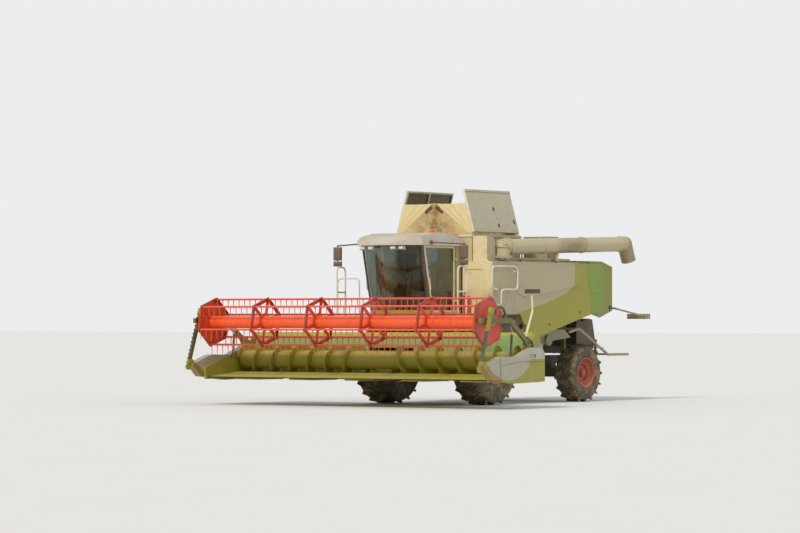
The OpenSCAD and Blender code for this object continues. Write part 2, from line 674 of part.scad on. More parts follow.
// Curved windshield between the pillars, leaning with them, and the fixed side panes
module cab_glass() color(glass) placed() {
    difference() {
        shield_solid(0);
        shield_solid(glass_t);
        block([-4000, -4000, sill_z - 900], [4000, 4000, sill_z + fit]);
        block([-4000, -4000, cab_top - fit], [4000, 4000, cab_top + 2000]);
        both_sides() block([cab_x - pillar_t - fit, -4000, 0], [4000, 4000, 9000]);
        // Only the front half of the curved shell is the windshield
        block([-4000, cab_y0 + pillar_lean + 60, 0], [4000, 4000, 9000]);
    }
    // Right side pane
    mirror([1, 0, 0]) side_plate(cab_x - 30, cab_x - 30 + glass_t, [
        [cab_y0 + pillar_lean + 40, sill_z + 92], [door_y1 + 28, sill_z + 92],
        [door_y1 + 28, cab_top - fit], [cab_y0 + 55, cab_top - fit]]);
    // Rear pane
    block([-cab_x + 150 + fit, cab_y1 - 40, 2500 + fit],
        [cab_x - 150 - fit, cab_y1 - 40 + glass_t, 3300 - fit]);
}
lean_angle = atan(pillar_lean / (cab_top - sill_z));
module shield_solid(inset) {
    translate([0, cab_y0 + pillar_lean - shield_rise + 10, sill_z]) rotate([lean_angle, 0, 0])
        translate([0, shield_r, -300]) cylinder(r = shield_r - inset, h = 2200, $fn = 128);
}

// Roof: plan outline with chamfered front corners, raised middle and lamps
roof_plan = [[-630, -2000], [630, -2000], [880, -1700], [880, -160], [-880, -160], [-880, -1700]];
module cab_roof() color(panel_grey) placed() {
    difference() {
        union() {
            translate([0, 0, cab_top]) linear_extrude(130) polygon(roof_plan);
            // Crowned upper shell
            intersection() {
                translate([0, 0, cab_top + 129]) linear_extrude(160) offset(delta = -40)
                    polygon(roof_plan);
                x_cyl(-900, 900, -1080, cab_top + 280 - 3200, 6400, 128);
            }
        }
        // Upper face falls to a thin front edge
        side_plate(-1000, 1000, [for (p = [[-2100, 34], [-2010, 34], [-1900, 100], [-1750, 160],
            [-1550, 212], [-1300, 250], [-1300, 400], [-2100, 400]]) p + [0, cab_top]]);
        // Hollow over the driver
        translate([0, 0, cab_top - 1]) linear_extrude(40) polygon([[-700, -1500], [700, -1500],
            [700, -300], [-700, -300]]);
    }
    // Work lamps under the front edge
    for (x = [-520, -300, 300, 520]) {
        translate([x, -1960, cab_top - 26]) cylinder(d = 24, h = 28);
        block([x - 70, -1990, cab_top - 100], [x + 70, -1920, cab_top - 24]);
    }
    // Beacon on the left
    translate([760, -1190, cab_top + 100]) cylinder(d = 40, h = 170);
    translate([760, -1190, cab_top + 269]) cylinder(d = 110, h = 110);
}
module cab_door() color(dark) placed() {
    difference() {
        side_plate(cab_x - 35, cab_x - 1, door_outline(0));
        side_plate(cab_x - 36, cab_x, door_outline(45));
    }
    // Hinge sleeves
    for (z = door_hinges) difference() {
        union() {
            translate([cab_x + 20, door_y1 + 20, z]) cylinder(d = 34, h = 28);
            block([cab_x - 30, door_y1 - 40, z], [cab_x + 20, door_y1 + 3, z + 28]);
        }
        translate([cab_x + 20, door_y1 + 20, z - 1]) cylinder(d = 16 + 2 * pin_gap, h = 32);
    }
    // Handle on the front frame
    bar([cab_x + 30, door_edge(2500) + 22, 2500], [cab_x + 30, door_edge(2750) + 22, 2750], 22);
    for (z = [2515, 2735]) x_cyl(cab_x - 10, cab_x + 30, door_edge(z) + 22, z, 16, 24);
}
// Front edge of the door at a height
function door_edge(z) = door_y0
    - (pillar_lean - 25) * (z - sill_z + 22) / (cab_top - gap - sill_z + 22);
// Door outline, drawn in by a margin
function door_outline(m) = [[door_y0 + m, sill_z - 22 + m], [door_y1 - m, sill_z - 22 + m],
    [door_y1 - m, cab_top - gap - m], [door_y0 - pillar_lean + 25 + m * 1.3, cab_top - gap - m]];
module door_glass() color(glass) placed()
    side_plate(cab_x - 20, cab_x - 12, door_outline(45 + fit));

module seat() color(dark) placed() {
    block([-60, -900, sill_z + fit], [300, -560, sill_z + 300]);
    block([-130, -980, sill_z + 299], [370, -500, sill_z + 420]);
    side_plate(-120, 360, [[-510, sill_z + 410], [-440, sill_z + 410], [-380, 3100], [-470, 3100]]);
    for (x = [-200, 380]) block([x - 1, -900, sill_z + 480], [x + 61, -470, sill_z + 540]);
    for (x = [-200, 350]) block([x, -500, sill_z + 400], [x + 90, -455, sill_z + 541]);
}

wheel_pos = [120, -1080, 2760];
module steering() color(dark) placed() {
    bar([120, -1230, sill_z + fit + 20], wheel_pos, 90);
    block([60, -1290, sill_z + fit], [180, -1170, sill_z + 60]);
    translate(wheel_pos) rotate([-22, 0, 0]) {
        rotate_extrude($fn = 64) translate([190, 0]) circle(d = 30, $fn = 24);
        for (a = [90, 210, 330]) rotate([0, 0, a]) translate([0, -15, -8]) cube([190, 30, 16]);
        translate([0, 0, -40]) cylinder(d = 110, h = 55);
    }
}

// Mirrors on bent arms from the roof corners
mirror_x = 1700;
mirror_y = -1310;
module mirrors() color(dark) placed() both_sides() {
    rail([[880 + fit + 16, -1400, cab_top + 60], [mirror_x, mirror_y - 30, cab_top + 20],
        [mirror_x, mirror_y - 30, 3010]], 32);
    block([880 + fit, -1440, cab_top + 20], [915, -1360, cab_top + 100]);
    for (m = [[3150, 3440], [3020, 3130]]) difference() {
        block([mirror_x - 100, mirror_y - 50, m[0]], [mirror_x + 100, mirror_y, m[1]]);
        block([mirror_x - 88, mirror_y - 10, m[0] + 12], [mirror_x + 88, mirror_y + 1, m[1] - 12]);
    }
}

// Platforms on both sides of the cab, front fascia, ladder and extinguisher
platform_z = 1900;
platform_y0 = -1480;
platform_y1 = tank_y0 - 62;
platform_x0 = cab_x + 55;
platform_x1 = 1650;
// The ladder stands between the lowered header and the wheel
ladder_x = 1500;
ladder_y0 = -1390;
ladder_y1 = -970;
ladder_z = 620;
module platform() color(lime) placed() {
    both_sides() {
        block([platform_x0, platform_y0, platform_z], [platform_x1, platform_y1, platform_z + 40]);
        // Folded edge
        side_plate(platform_x1 - 30, platform_x1, [[platform_y0, platform_z - 90],
            [platform_y1, platform_z - 60], [platform_y1, platform_z + 1],
            [platform_y0, platform_z + 1]]);
        side_plate(platform_x0, platform_x1 - 29, [[platform_y0, platform_z - 90],
            [platform_y0 + 30, platform_z - 90], [platform_y0 + 30, platform_z + 1],
            [platform_y0, platform_z + 1]]);
        // Brackets under the platform, bolted to the body's front wall
        for (y = [-420, -1000]) block([501, y, platform_z - 80], [platform_x1 - 31, y + 60, platform_z + 1]);
    }
    // Fascia below the windshield, curved in plan
    translate([0, 0, fascia_z]) linear_extrude(180) difference() {
        translate([0, fascia_y + shield_r]) circle(r = shield_r, $fn = 96);
        translate([0, fascia_y + shield_r]) circle(r = shield_r - 25, $fn = 96);
        translate([-2000, fascia_y + shield_rise]) square([4000, 6000]);
    }
    both_sides() block([cab_x - 60, fascia_y + shield_rise - 60, fascia_z],
        [platform_x0 + 20, fascia_y + shield_rise - 20, platform_z + 39]);
    // Ladder on the left, in front of the wheel
    for (y = [ladder_y0, ladder_y1 - 25])
        block([ladder_x, y, ladder_z], [ladder_x + 60, y + 25, platform_z + 1]);
    for (i = [0:3]) block([ladder_x - 20, ladder_y0 + 1, ladder_z + 30 + 300 * i],
        [ladder_x + 140, ladder_y1 - 1, ladder_z + 65 + 300 * i]);
    // Extinguisher in its holder at the front wall
    translate([1000, platform_y1 - 100, platform_z + 39]) cylinder(d = 150, h = 420);
    translate([1000, platform_y1 - 100, platform_z + 455]) cylinder(d = 50, h = 70);
}
fascia_y = cab_y0 + pillar_lean - shield_rise - 30;
fascia_z = 1880;

rail_d = 34;
loop_x = 1630;
loop_y0 = -1455;
loop_y1 = -1150;
module handrails() color(dark) placed() {
    both_sides() {
        // Loop at the front of the platform
        rail([[loop_x, loop_y0, platform_z + 40 + fit], [loop_x, loop_y0, 3000],
            [loop_x, loop_y1, 3000], [loop_x, loop_y1, platform_z + 40 + fit]], rail_d);
        bar([loop_x, loop_y0, 2450], [loop_x, loop_y1, 2450], rail_d);
        // Loop beside the side wall, held by two standoffs
        rail([[side_x + fit, -60, 2510], [1700, -60, 2510], [1700, -280, 2510],
            [1700, -280, 3010], [1700, 690, 3010], [1700, 690, 2510], [1700, 60, 2510],
            [1700, 60, 2170], [side_x + fit, 60, 2170]], rail_d);
        bar([side_x + fit, 690, 2900], [1700, 690, 2900], rail_d);
    }
    // Rails in front of the windshield's lower edge
    rail([[-1000, platform_y0 + 10, platform_z + 40 + fit], [-1000, platform_y0 + 10, 2750],
        [-1600, platform_y0 + 10, 2750], [-1600, platform_y0 + 10, platform_z + 40 + fit]], rail_d);
}

// Turret of the unloading auger, with a ring flange on top
turret_x = 1450;
turret_y = 450;
turret_d = tube_d + 20;
flange_d = tube_d + 120;
flange_t = 22;
turret_z = tube_z - tube_d / 2 - 55;
module auger_turret() color(panel_grey) placed() translate([turret_x, turret_y, 0]) {
    // Curved housing ahead of the swivel, on the shelf beside the tank
    side_plate(tank_x + 26 + fit - turret_x, -10, [for (p = [[-560, 0], [-236, 0], [-236, 350],
        [-270, 440], [-330, 500], [-400, 520], [-560, 520]]) p + [0, panel_top + 32 + fit]]);
    translate([0, 0, panel_top + 32 + fit]) cylinder(d = turret_d, h = turret_z - panel_top - 52);
    translate([0, 0, turret_z - flange_t]) cylinder(d = flange_d, h = flange_t);
    for (a = [30:60:330]) rotate([0, 0, a]) translate([turret_d / 2 - 5, -6, turret_z - 60])
        cube([45, 12, 40]);
}

// Folded tube with its elbow, rings and down-turned spout
spout_len = 420;
module unloading_auger() color(cream) placed() translate([turret_x, turret_y, 0]) {
    translate([0, 0, turret_z + gap]) cylinder(d = flange_d, h = flange_t);
    translate([0, 0, turret_z + gap + 1]) cylinder(d = tube_d, h = tube_z - turret_z - gap);
    translate([0, 0, tube_z]) sphere(d = tube_d + 14, $fn = 64);
    translate([0, 0, tube_z]) rotate([-90 + tube_rise, 0, 0]) {
        cylinder(d = tube_d, h = tube_len);
        // Rings: distance, width, extra diameter
        for (r = tube_rings) translate([0, 0, r[0]]) cylinder(d = tube_d + r[2], h = r[1]);
        // Spout bends down at the end
        translate([0, 0, tube_len]) sphere(d = tube_d + 14, $fn = 64);
        translate([0, 0, tube_len]) rotate([-68, 0, 0]) difference() {
            cylinder(d = tube_d, h = spout_len);
            translate([0, 0, 60]) cylinder(d = tube_d - 2 * sheet_t, h = spout_len);
        }
    }
    // Ribs of the elbow
    for (r = elbow_ribs) translate([0, 0, tube_z]) rotate([r[0], 0, 0])
        translate([0, 0, -6]) cylinder(d = tube_d + r[1], h = 12);
}
tube_rings = [[180, 30, 60], [1500, 40, 24], [3100, 40, 24], [4700, 40, 24]];
// Angle, extra diameter
elbow_ribs = [[-60, 38], [-30, 46], [0, 54]];

// Feeder house: sloping channel between its hinge and the header's back wall
feeder_y0 = -header_back + 120;
feeder_bottom = 700;
feeder_top = 1290;
module feeder_house() color(lime) placed() {
    difference() {
        side_plate(-feeder_w / 2, feeder_w / 2, [[feeder_y0, feeder_bottom],
            [feeder_y0, feeder_top], [feeder_hinge_y - 60, feeder_hinge_z + 90],
            [body_y0 - 26, feeder_hinge_z + 90], [body_y0 - 60, feeder_hinge_z - 250],
            [-900, 860]]);
        side_plate(-feeder_w / 2 + sheet_t, feeder_w / 2 - sheet_t, [
            [feeder_y0 - 1, feeder_bottom + sheet_t], [feeder_y0 - 1, feeder_top - sheet_t],
            [feeder_hinge_y - 60, feeder_hinge_z + 65], [body_y0, feeder_hinge_z + 65],
            [body_y0, feeder_hinge_z - 225], [-900, 890]]);
        // Bores of the hinge
        x_cyl(-800, 800, feeder_hinge_y, feeder_hinge_z, feeder_pin_d + 2 * pin_gap);
    }
    both_sides() {
        // Hinge bosses inside the side walls
        difference() {
            x_cyl(feeder_w / 2 - 61, feeder_w / 2 - 1, feeder_hinge_y, feeder_hinge_z, 130);
            x_cyl(0, 800, feeder_hinge_y, feeder_hinge_z, feeder_pin_d + 2 * pin_gap);
        }
        // Ribs on the side walls
        for (y = [-1350, -1000, -650]) side_plate(feeder_w / 2 - 1, feeder_w / 2 + 14, [
            [y, 930 + (y + 1350) * 0.55], [y + 40, 940 + (y + 1350) * 0.55],
            [y + 40, 1240 + (y + 1350) * 0.33], [y, 1230 + (y + 1350) * 0.33]]);
        // Pin of the lift cylinder's eye
        side_plate(feeder_w / 2 - 100, lift_x - eye_w / 2 - 8, [[lift_eye_y - 60, lift_eye_z - 50],
            [lift_eye_y + 60, lift_eye_z - 50], [lift_eye_y + 110, 795], [lift_eye_y - 110, 740]]);
        x_cyl(feeder_w / 2 - 99, lift_x + eye_w / 2 + 10, lift_eye_y, lift_eye_z, lift_eye_d, 32);
    }
}

// A cylinder barrel from its base pin towards the eye: lies along +Z here
module barrel(d, l, pin, eye = eye_w) {
    difference() {
        union() {
            rotate([0, 90, 0]) translate([0, 0, -eye / 2]) cylinder(d = pin * 1.8, h = eye);
            translate([0, 0, pin * 0.6]) cylinder(d = d, h = l - pin * 0.6);
            translate([0, 0, l - 40]) cylinder(d = d + 12, h = 40);
        }
        rotate([0, 90, 0]) translate([0, 0, -eye]) cylinder(d = pin + 2 * pin_gap, h = 2 * eye);
        translate([0, 0, pin * 1.4]) cylinder(d = d * 0.62 + 2 * fit, h = l);
    }
}
// The rod of that cylinder; its eye has play round the pin, where the linkage is open
module rod(d, l0, l1, pin, play, eye = eye_w) {
    difference() {
        union() {
            translate([0, 0, l0]) cylinder(d = d, h = l1 - l0 - pin / 2 - play - 2);
            translate([0, 0, l1]) rotate([0, 90, 0]) translate([0, 0, -eye / 2])
                cylinder(d = pin + 2 * play + 28, h = eye);
        }
        translate([0, 0, l1]) rotate([0, 90, 0]) translate([0, 0, -eye])
            cylinder(d = pin + 2 * play, h = 2 * eye);
    }
}
// Lays a cylinder drawn along +Z from a base point towards an eye, in the YZ plane
module aimed(x, base, eye) {
    translate([x, base[0], base[1]])
        rotate([atan2(-(eye[0] - base[0]), eye[1] - base[1]), 0, 0]) children();
}
lift_base = [lift_base_y, lift_base_z];
lift_eye = [lift_eye_y, lift_eye_z];
lift_len = norm(lift_eye - lift_base);
lift_d = 100;
lift_barrel_len = lift_len - 330;
module lift_barrels() color(dark) placed() both_sides()
    aimed(lift_x, lift_base, lift_eye) barrel(lift_d, lift_barrel_len, lift_pin_d);
module lift_rods() color(steel) placed() both_sides()
    aimed(lift_x, lift_base, lift_eye) rod(lift_d * 0.62, 260, lift_len, lift_eye_d, lift_play);

// Header: back wall, trough and table as one sheet outline, beams, end walls
header_x = cut_w / 2;
end_t = 40;
auger_y = -2080;
auger_z = 985;
trough_r = auger_d / 2 + 30;
table_t = 16;
cutter_y = -3330;
cutter_z = 600;
function arc(r, a0, a1, n) = [for (i = [0:n]) let (a = a0 + (a1 - a0) * i / n)
    [auger_y + r * cos(a), auger_z + r * sin(a)]];
module header_frame() color(lime) placed() {
    difference() {
        // Back wall and trough follow one outline
        side_plate(-header_x, header_x, concat(
            [[-header_back, header_top], [-header_back - table_t, header_top],
            [-header_back - table_t, auger_z]],
            arc(trough_r, -12, -130, 12), [[cutter_y + 60, cutter_z + 10],
            [cutter_y + 60, cutter_z - 8]],
            arc(trough_r + table_t, -130, -12, 12), [[-header_back, auger_z]]));
        block([-feeder_w / 2 + 40, -header_back - 250, feeder_bottom + 60],
            [feeder_w / 2 - 40, -header_back + 10, feeder_top - 40]);
    }
    // Upper and lower beams behind the wall
    block([-header_x, -header_back - 1, header_top - 150], [header_x, -header_back + 110, header_top]);
    block([-header_x, -header_back - 1, 560], [header_x, -header_back + 100, 680]);
    // Posts between the beams, clear of the feeder house
    for (x = [-3600, -2700, -1800, -900, 900, 1800, 2700, 3600])
        block([x - 40, -header_back - 1, 679], [x + 40, -header_back + 90, header_top - 149]);
    // Coupling frame round the mouth of the feeder house
    difference() {
        block([-feeder_w / 2 - 60, -header_back - 1, feeder_bottom - 60],
            [feeder_w / 2 + 60, feeder_y0 - fit, feeder_top + 60]);
        block([-feeder_w / 2 + 40, -header_back - 10, feeder_bottom + 60],
            [feeder_w / 2 - 40, 0, feeder_top - 40]);
    }
    // End walls
    both_sides() side_plate(header_x - 1, header_x + end_t, [[-header_back + 110, 540],
        [-header_back + 110, header_top], [-header_back - 60, header_top],
        [-header_back - 300, 1250], [cutter_y - 60, 820], [cutter_y - 60, cutter_z - 40],
        [-2500, 560]]);
    both_sides() {
        x_cyl(header_x - 130, header_x, auger_y, auger_z, stub_pin_d, 32);
        x_cyl(reel_cyl_x - reel_eye_w / 2 - 5, header_x, reel_base[0], reel_base[1], reel_pin_d, 32);
        // Ear of the reel arm
        difference() {
            side_plate(ear_x - ear_t, ear_x, [[-1880, 1200], [-1930, ear_top], [-2080, ear_top],
                [-2115, 1330], [-2180, 1150]]);
            x_cyl(0, 4000, arm_hinge[0], arm_hinge[1], arm_pin_d + 2 * fit);
        }
    }
    // Ribs and skids under the table
    for (x = [-3000, -1500, 0, 1500, 3000]) side_plate(x - 20, x + 20, [
        [-header_back, 561], [-1900, 570], [-2400, 605], [cutter_y + 61, cutter_z - 2],
        [cutter_y + 61, cutter_z - 40], [-2500, 540], [-header_back, 540]]);
}

// Cutter bar: comb of pointed fingers in front of the table, with its knife sections
finger_pitch = 76.2;
fingers = floor((cut_w - 40) / finger_pitch);
module cutter_bar() color(dark) placed() {
    x_first = -(fingers - 1) * finger_pitch / 2;
    translate([0, 0, cutter_z - 8]) linear_extrude(14) polygon(concat(
        [[header_x - 1 - fit, cutter_y + 60 - fit], [-header_x + 1 + fit, cutter_y + 60 - fit],
        [-header_x + 1 + fit, cutter_y]],
        [for (i = [0:fingers - 1], p = [[-16, 0], [-12, -70], [0, -115], [12, -70], [16, 0]])
            [x_first + i * finger_pitch + p[0], cutter_y + p[1]]],
        [[header_x - 1 - fit, cutter_y]]));
    // Knife back and its sections
    translate([0, 0, cutter_z + 5]) linear_extrude(8) polygon(concat(
        [[x_first + fingers * finger_pitch - 40, cutter_y + 20], [x_first - 36, cutter_y + 20]],
        [for (i = [0:fingers - 1], p = [[-36, -8], [-8, -52], [8, -52], [36, -8]])
            [x_first + i * finger_pitch + p[0], cutter_y + p[1]]]));
}

// Dividers: side shields with a tapered nose, grey cover over the lime shell
shield_x0 = header_x + end_t + fit;
shield_x1 = 3950;
divider_nose = 3760;
// Height of the divider's upper edge ahead of its bend
function divider_top(y) = 1091 + (y + 3140) * 200 / (divider_nose - 3140);
module dividers() color(panel_grey) placed() both_sides() {
    difference() {
        side_plate(shield_x0, shield_x1, [[-header_back + 60, 560], [-header_back + 60, 1150],
            [-header_back - 40, 1270], [-2000, 1270], [-2526, 1082], [-3140, 1091],
            [-divider_nose, 891], [-divider_nose - 10, 850], [-3500, 620], [-2700, 530]]);
        // Outer face tapers to the nose
        translate([shield_x1 - 70, -3150, 0]) rotate([0, 0, 30 / 2]) translate([40, -1000, 0])
            cube([600, 1000, 2000]);
        // Groove between the cover and the shell
        side_plate(shield_x1 - 12, shield_x1 + 1, [[-header_back - 60, 985],
            [-2500, 985], [-3200, 905], [-3200, 885], [-2500, 965], [-header_back - 60, 965]]);
        // Recessed hand hole
        side_plate(shield_x1 - 30, shield_x1 + 1, [[-1900, 1060], [-2150, 1060],
            [-2150, 1130], [-1900, 1130]]);
    }
}

// Upright rapeseed knives at both ends: post, double knife and drive head
module side_knives() color(lime) placed() both_sides() {
    n = knife_len;
    translate([knife_x, knife_foot[0], knife_foot[1]])
        rotate([-knife_lean, 0, 0]) {
            block([-18, 0, 0], [18, 95, n]);
            // Toothed edge
            translate([-4, 0, 0]) rotate([90, 0, 90]) linear_extrude(8) polygon(concat(
                [[1, n], [1, 0]], [for (i = [0:knife_teeth - 1],
                    p = [[-8, 4], [-knife_bite, n / knife_teeth / 2]])
                    [p[0], i * n / knife_teeth + p[1]]], [[-8, n]]));
            block([-35, -10, n - 60], [35, 115, n + 90]);
        }
    // Foot bracket down to the divider
    side_plate(knife_x - 30, knife_x + 30, [[-3640, divider_top(-3640) + fit],
        [-divider_nose + 20, divider_top(-divider_nose + 20) + fit],
        [-divider_nose - 90, 900], [-3790, 1000], [-3720, 1000]]);
}

// Intake auger: tube with two flights that meet in the middle, and fingers between them
auger_tube_d = 400;
flight_gap = 350;
auger_end = 45;
module intake_auger() color(steel) placed() translate([0, auger_y, auger_z]) {
    l = header_x - auger_end;
    difference() {
        x_cyl(-l, l, 0, 0, auger_tube_d, 64);
        x_cyl(-l - 1, l + 1, 0, 0, stub_pin_d + 2 * pin_gap);
    }
    both_sides() rotate([0, 90, 0]) translate([0, 0, flight_gap])
        linear_extrude(l - flight_gap, twist = -360 * (l - flight_gap) / auger_pitch,
            slices = round(20 * (l - flight_gap) / auger_pitch), segments = 4)
            polygon([for (p = [[auger_tube_d / 2 - 4, -5], [auger_d / 2, -5], [auger_d / 2, 5],
                [auger_tube_d / 2 - 4, 5]]) [p[0] * cos(p[1]), p[0] * sin(p[1])]]);
    // Retracting fingers in the middle
    for (i = [0:5]) rotate([i * 120 + 40, 0, 0]) translate([-250 + i * 100, 0, 150])
        cylinder(d = 18, h = auger_d / 2 - 150);
}
stub_pin_d = 80;

// Reel arms: goosenecks hinged on the ears of the end walls, level where the carriages slide
arm_x = 3800;
arm_w = 60;
arm_h = 110;
arm_hinge = [-2020, 1380];
arm_bend = [-2650, 1830];
arm_tip_y = -3720;
arm_pin_d = 50;
ear_x = arm_x - arm_w / 2 - 5;
ear_t = 20;
ear_top = 1450;
arm_slope = atan2(arm_bend[1] - arm_hinge[1], arm_hinge[0] - arm_bend[0]);
arm_top = arm_bend[1] + arm_h / 2;
module reel_arms() color(lime) placed() both_sides() {
    across = [sin(arm_slope), cos(arm_slope)] * 48;
    mitre = [tan(arm_slope / 2), 1] * arm_h / 2;
    difference() {
        union() {
            side_plate(arm_x - arm_w / 2, arm_x + arm_w / 2, [arm_hinge + across, arm_bend + mitre,
                [arm_tip_y, arm_top], [arm_tip_y, arm_top - arm_h], arm_bend - mitre,
                arm_hinge - across]);
            x_cyl(arm_x - arm_w / 2, arm_x + arm_w / 2 + 14, arm_hinge[0], arm_hinge[1], 150);
        }
        x_cyl(arm_x + arm_w / 2 - 6, 4000, arm_hinge[0], arm_hinge[1], 90);
    }
    // Pin through the ear, pin of the lift cylinder's eye
    x_cyl(ear_x - ear_t - 5, arm_x + arm_w / 2 + 6, arm_hinge[0], arm_hinge[1], arm_pin_d - 1, 32);
    x_cyl(reel_cyl_x - reel_eye_w / 2 - 5, arm_x - arm_w / 2 + 1, reel_eye[0], reel_eye[1],
        reel_eye_d, 32);
}

// Reel lift cylinders between the end walls and the arms
reel_cyl_x = 3718;
reel_eye_w = 36;
reel_pin_d = 30;
reel_eye_d = 20;
reel_play = 11;
reel_base = [-2500, 1040];
reel_eye = arm_hinge + (arm_bend - arm_hinge) * 2 / 3;
reel_cyl_len = norm(reel_eye - reel_base);
reel_barrel_len = reel_cyl_len - 150;
reel_rod_start = 300;
module reel_barrels() color(dark) placed() both_sides()
    aimed(reel_cyl_x, reel_base, reel_eye) barrel(50, reel_barrel_len, reel_pin_d, reel_eye_w);
module reel_rods() color(steel) placed() both_sides()
    aimed(reel_cyl_x, reel_base, reel_eye)
        rod(31, reel_rod_start, reel_cyl_len, reel_eye_d, reel_play, reel_eye_w);

// Carriages slide along the arms and carry the reel's shaft
carriage_x0 = 3712;
carriage_len = 240;
shaft_d = 60;
module reel_carriages() color(dark) placed() {
    both_sides() {
        difference() {
            union() {
                block([carriage_x0, -reel_y - carriage_len / 2, reel_z - 80],
                    [arm_x - arm_w / 2 - fit, -reel_y + carriage_len / 2, reel_z + 88]);
                block([carriage_x0, -reel_y - carriage_len / 2, arm_top + fit],
                    [arm_x + arm_w / 2 - 4, -reel_y + carriage_len / 2, arm_top + fit + 14]);
            }
            x_cyl(3000, 4000, -reel_y, reel_z, shaft_d + 2 * pin_gap);
        }
    }
}

// Reel: centre tube, dished end plates and open spiders
reel_tube_d = 270;
tine_bar_d = 42;
reel_turn = 19;
rim_r = reel_r + 45;
rim_w = 40;
bays = 5;
bay = (reel_len - 20) / bays;
spider_t = 12;
module hexagon(r) { rotate([0, 0, reel_turn]) circle(r = r, $fn = 6); }
module reel() color(dark_red) placed() translate([0, -reel_y, reel_z]) rotate([90, 0, 90]) {
    translate([0, 0, -reel_len / 2 + 10]) cylinder(d = reel_tube_d, h = reel_len - 20);
    for (s = [0, 1]) mirror([0, 0, s]) {
        translate([0, 0, reel_len / 2 - 11]) cylinder(d = shaft_d, h = 86);
        // End plate, its deep rim and the ribs from the hub to its corners
        translate([0, 0, reel_len / 2 - 12]) difference() {
            union() {
                linear_extrude(12) hexagon(rim_r);
                translate([0, 0, -rim_w]) flange(rim_w + 1);
                for (k = [0:5]) rotate([0, 0, 60 * k + reel_turn]) translate([100, -12, -22])
                    cube([reel_r - 150, 24, 23]);
            }
            bar_bores();
        }
        translate([0, 0, reel_len / 2 - 1]) cylinder(d = 320, h = 14);
    }
    for (i = [1:bays - 1]) translate([0, 0, -reel_len / 2 + 10 + i * bay - spider_t / 2]) {
        difference() {
            linear_extrude(spider_t) union() {
                difference() { hexagon(rim_r - 1); hexagon(reel_r - 45); }
                for (k = [0:5]) rotate([0, 0, 60 * k + reel_turn]) translate([100, -40])
                    square([reel_r - 100, 80]);
                circle(r = reel_tube_d / 2 + 60, $fn = 48);
            }
            bar_bores();
        }
        translate([0, 0, (spider_t - rim_w) / 2]) flange(rim_w);
    }
}
module flange(h) linear_extrude(h) difference() { hexagon(rim_r); hexagon(rim_r - 12); }
module bar_bores() {
    for (i = [0:5]) rotate([0, 0, 60 * i + reel_turn]) translate([reel_r, 0, -1])
        cylinder(d = tine_bar_d + 2 * pin_gap, h = 40);
}

// Tine bars: each turns in the spiders so that its tines keep hanging
tines_per_bay = floor((bay - 60) / tine_pitch) + 1;
tine_outline = [[-12, 0], [-8, -80], [3, -tine_len], [10, -tine_len + 4], [5, -80], [12, 0]];
module tine_bar(i) {
    a = 60 * (i - 1) + reel_turn;
    color(reel_orange) placed() translate([0, -reel_y + reel_r * cos(a), reel_z + reel_r * sin(a)]) {
        x_cyl(-reel_len / 2 + 2, reel_len / 2 - 2, 0, 0, tine_bar_d, 32);
        for (b = [0:bays - 1], t = [0:tines_per_bay - 1])
            translate([-reel_len / 2 + 10 + (b + 0.5) * bay + (t - (tines_per_bay - 1) / 2) * tine_pitch,
                0, 0]) rotate([90, 0, 90]) linear_extrude(11, center = true) polygon(tine_outline);
    }
}

// Crop edge sensor on a bent pole that stands on the left ear of the header
module crop_sensor() color(cream) placed() {
    pole_x = ear_x - ear_t - 5;
    block([pole_x - 25, -2075, ear_top + fit], [ear_x, -1940, ear_top + 14]);
    rail([[pole_x, -1990, ear_top + 13], [pole_x, -1728, 2030], [pole_x, -1750, 2400]], 42);
    bar([pole_x, -2055, ear_top + 13], [pole_x, -1735, 2015], 14);
    block([pole_x - 147, -1800, 2395], [pole_x + 163, -1680, 2485]);
}

// Lids of the tank, drawn flat from their hinge line towards -X, then opened
lid_hinge_x = tank_x - 10;
lid_hinge_z = tank_top + 30;
lid_y0 = tank_y0 + 50;
lid_y1 = tank_y1 - 50;
lid_t = 40;
lid_pin_d = 16;
lid_hinges = [lid_y0 + 120, (lid_y0 + lid_y1) / 2, lid_y1 - 120];
module tank_lid() {
    translate([lid_hinge_x, 0, lid_hinge_z]) rotate([0, lid_open, 0]) {
        difference() {
            block([-lid_reach, lid_y0, -lid_t / 2], [-20, lid_y1, lid_t / 2]);
            // Two recessed fields on the inner face
            for (f = [0, 1]) block([-lid_reach + 70, lid_y0 + 70 + f * (lid_y1 - lid_y0 - 100) / 2,
                -lid_t / 2 - 1], [-110, lid_y0 - 30 + (f + 1) * (lid_y1 - lid_y0) / 2 - 10, lid_t / 2 - 8]);
        }
        // Folded free edge
        block([-lid_reach, lid_y0, lid_t / 2 - 1], [-lid_reach + 45, lid_y1, lid_t / 2 + 14]);
        for (y = lid_hinges) translate([0, y - 25, 0]) rotate([-90, 0, 0]) difference() {
            union() {
                cylinder(d = 34, h = 50);
                translate([-30, -8, 0]) cube([30, 16, 50]);
            }
            translate([0, 0, -1]) cylinder(d = lid_pin_d + 2 * pin_gap, h = 52);
        }
    }
}
module tank_lid_left() color(panel_grey) placed() tank_lid();
module tank_lid_right() color(panel_grey) placed() mirror([1, 0, 0]) tank_lid();

// Lugs and pins of the lids, drawn with the tank
module lid_lugs() {
    both_sides() for (y = lid_hinges) {
        translate([lid_hinge_x, y - 45, lid_hinge_z]) rotate([-90, 0, 0])
            cylinder(d = lid_pin_d, h = 90);
        for (s = [-45, 31]) block([lid_hinge_x - 9, y + s, tank_top - 1],
            [lid_hinge_x + 9, y + s + 14, lid_hinge_z + 9]);
    }
}

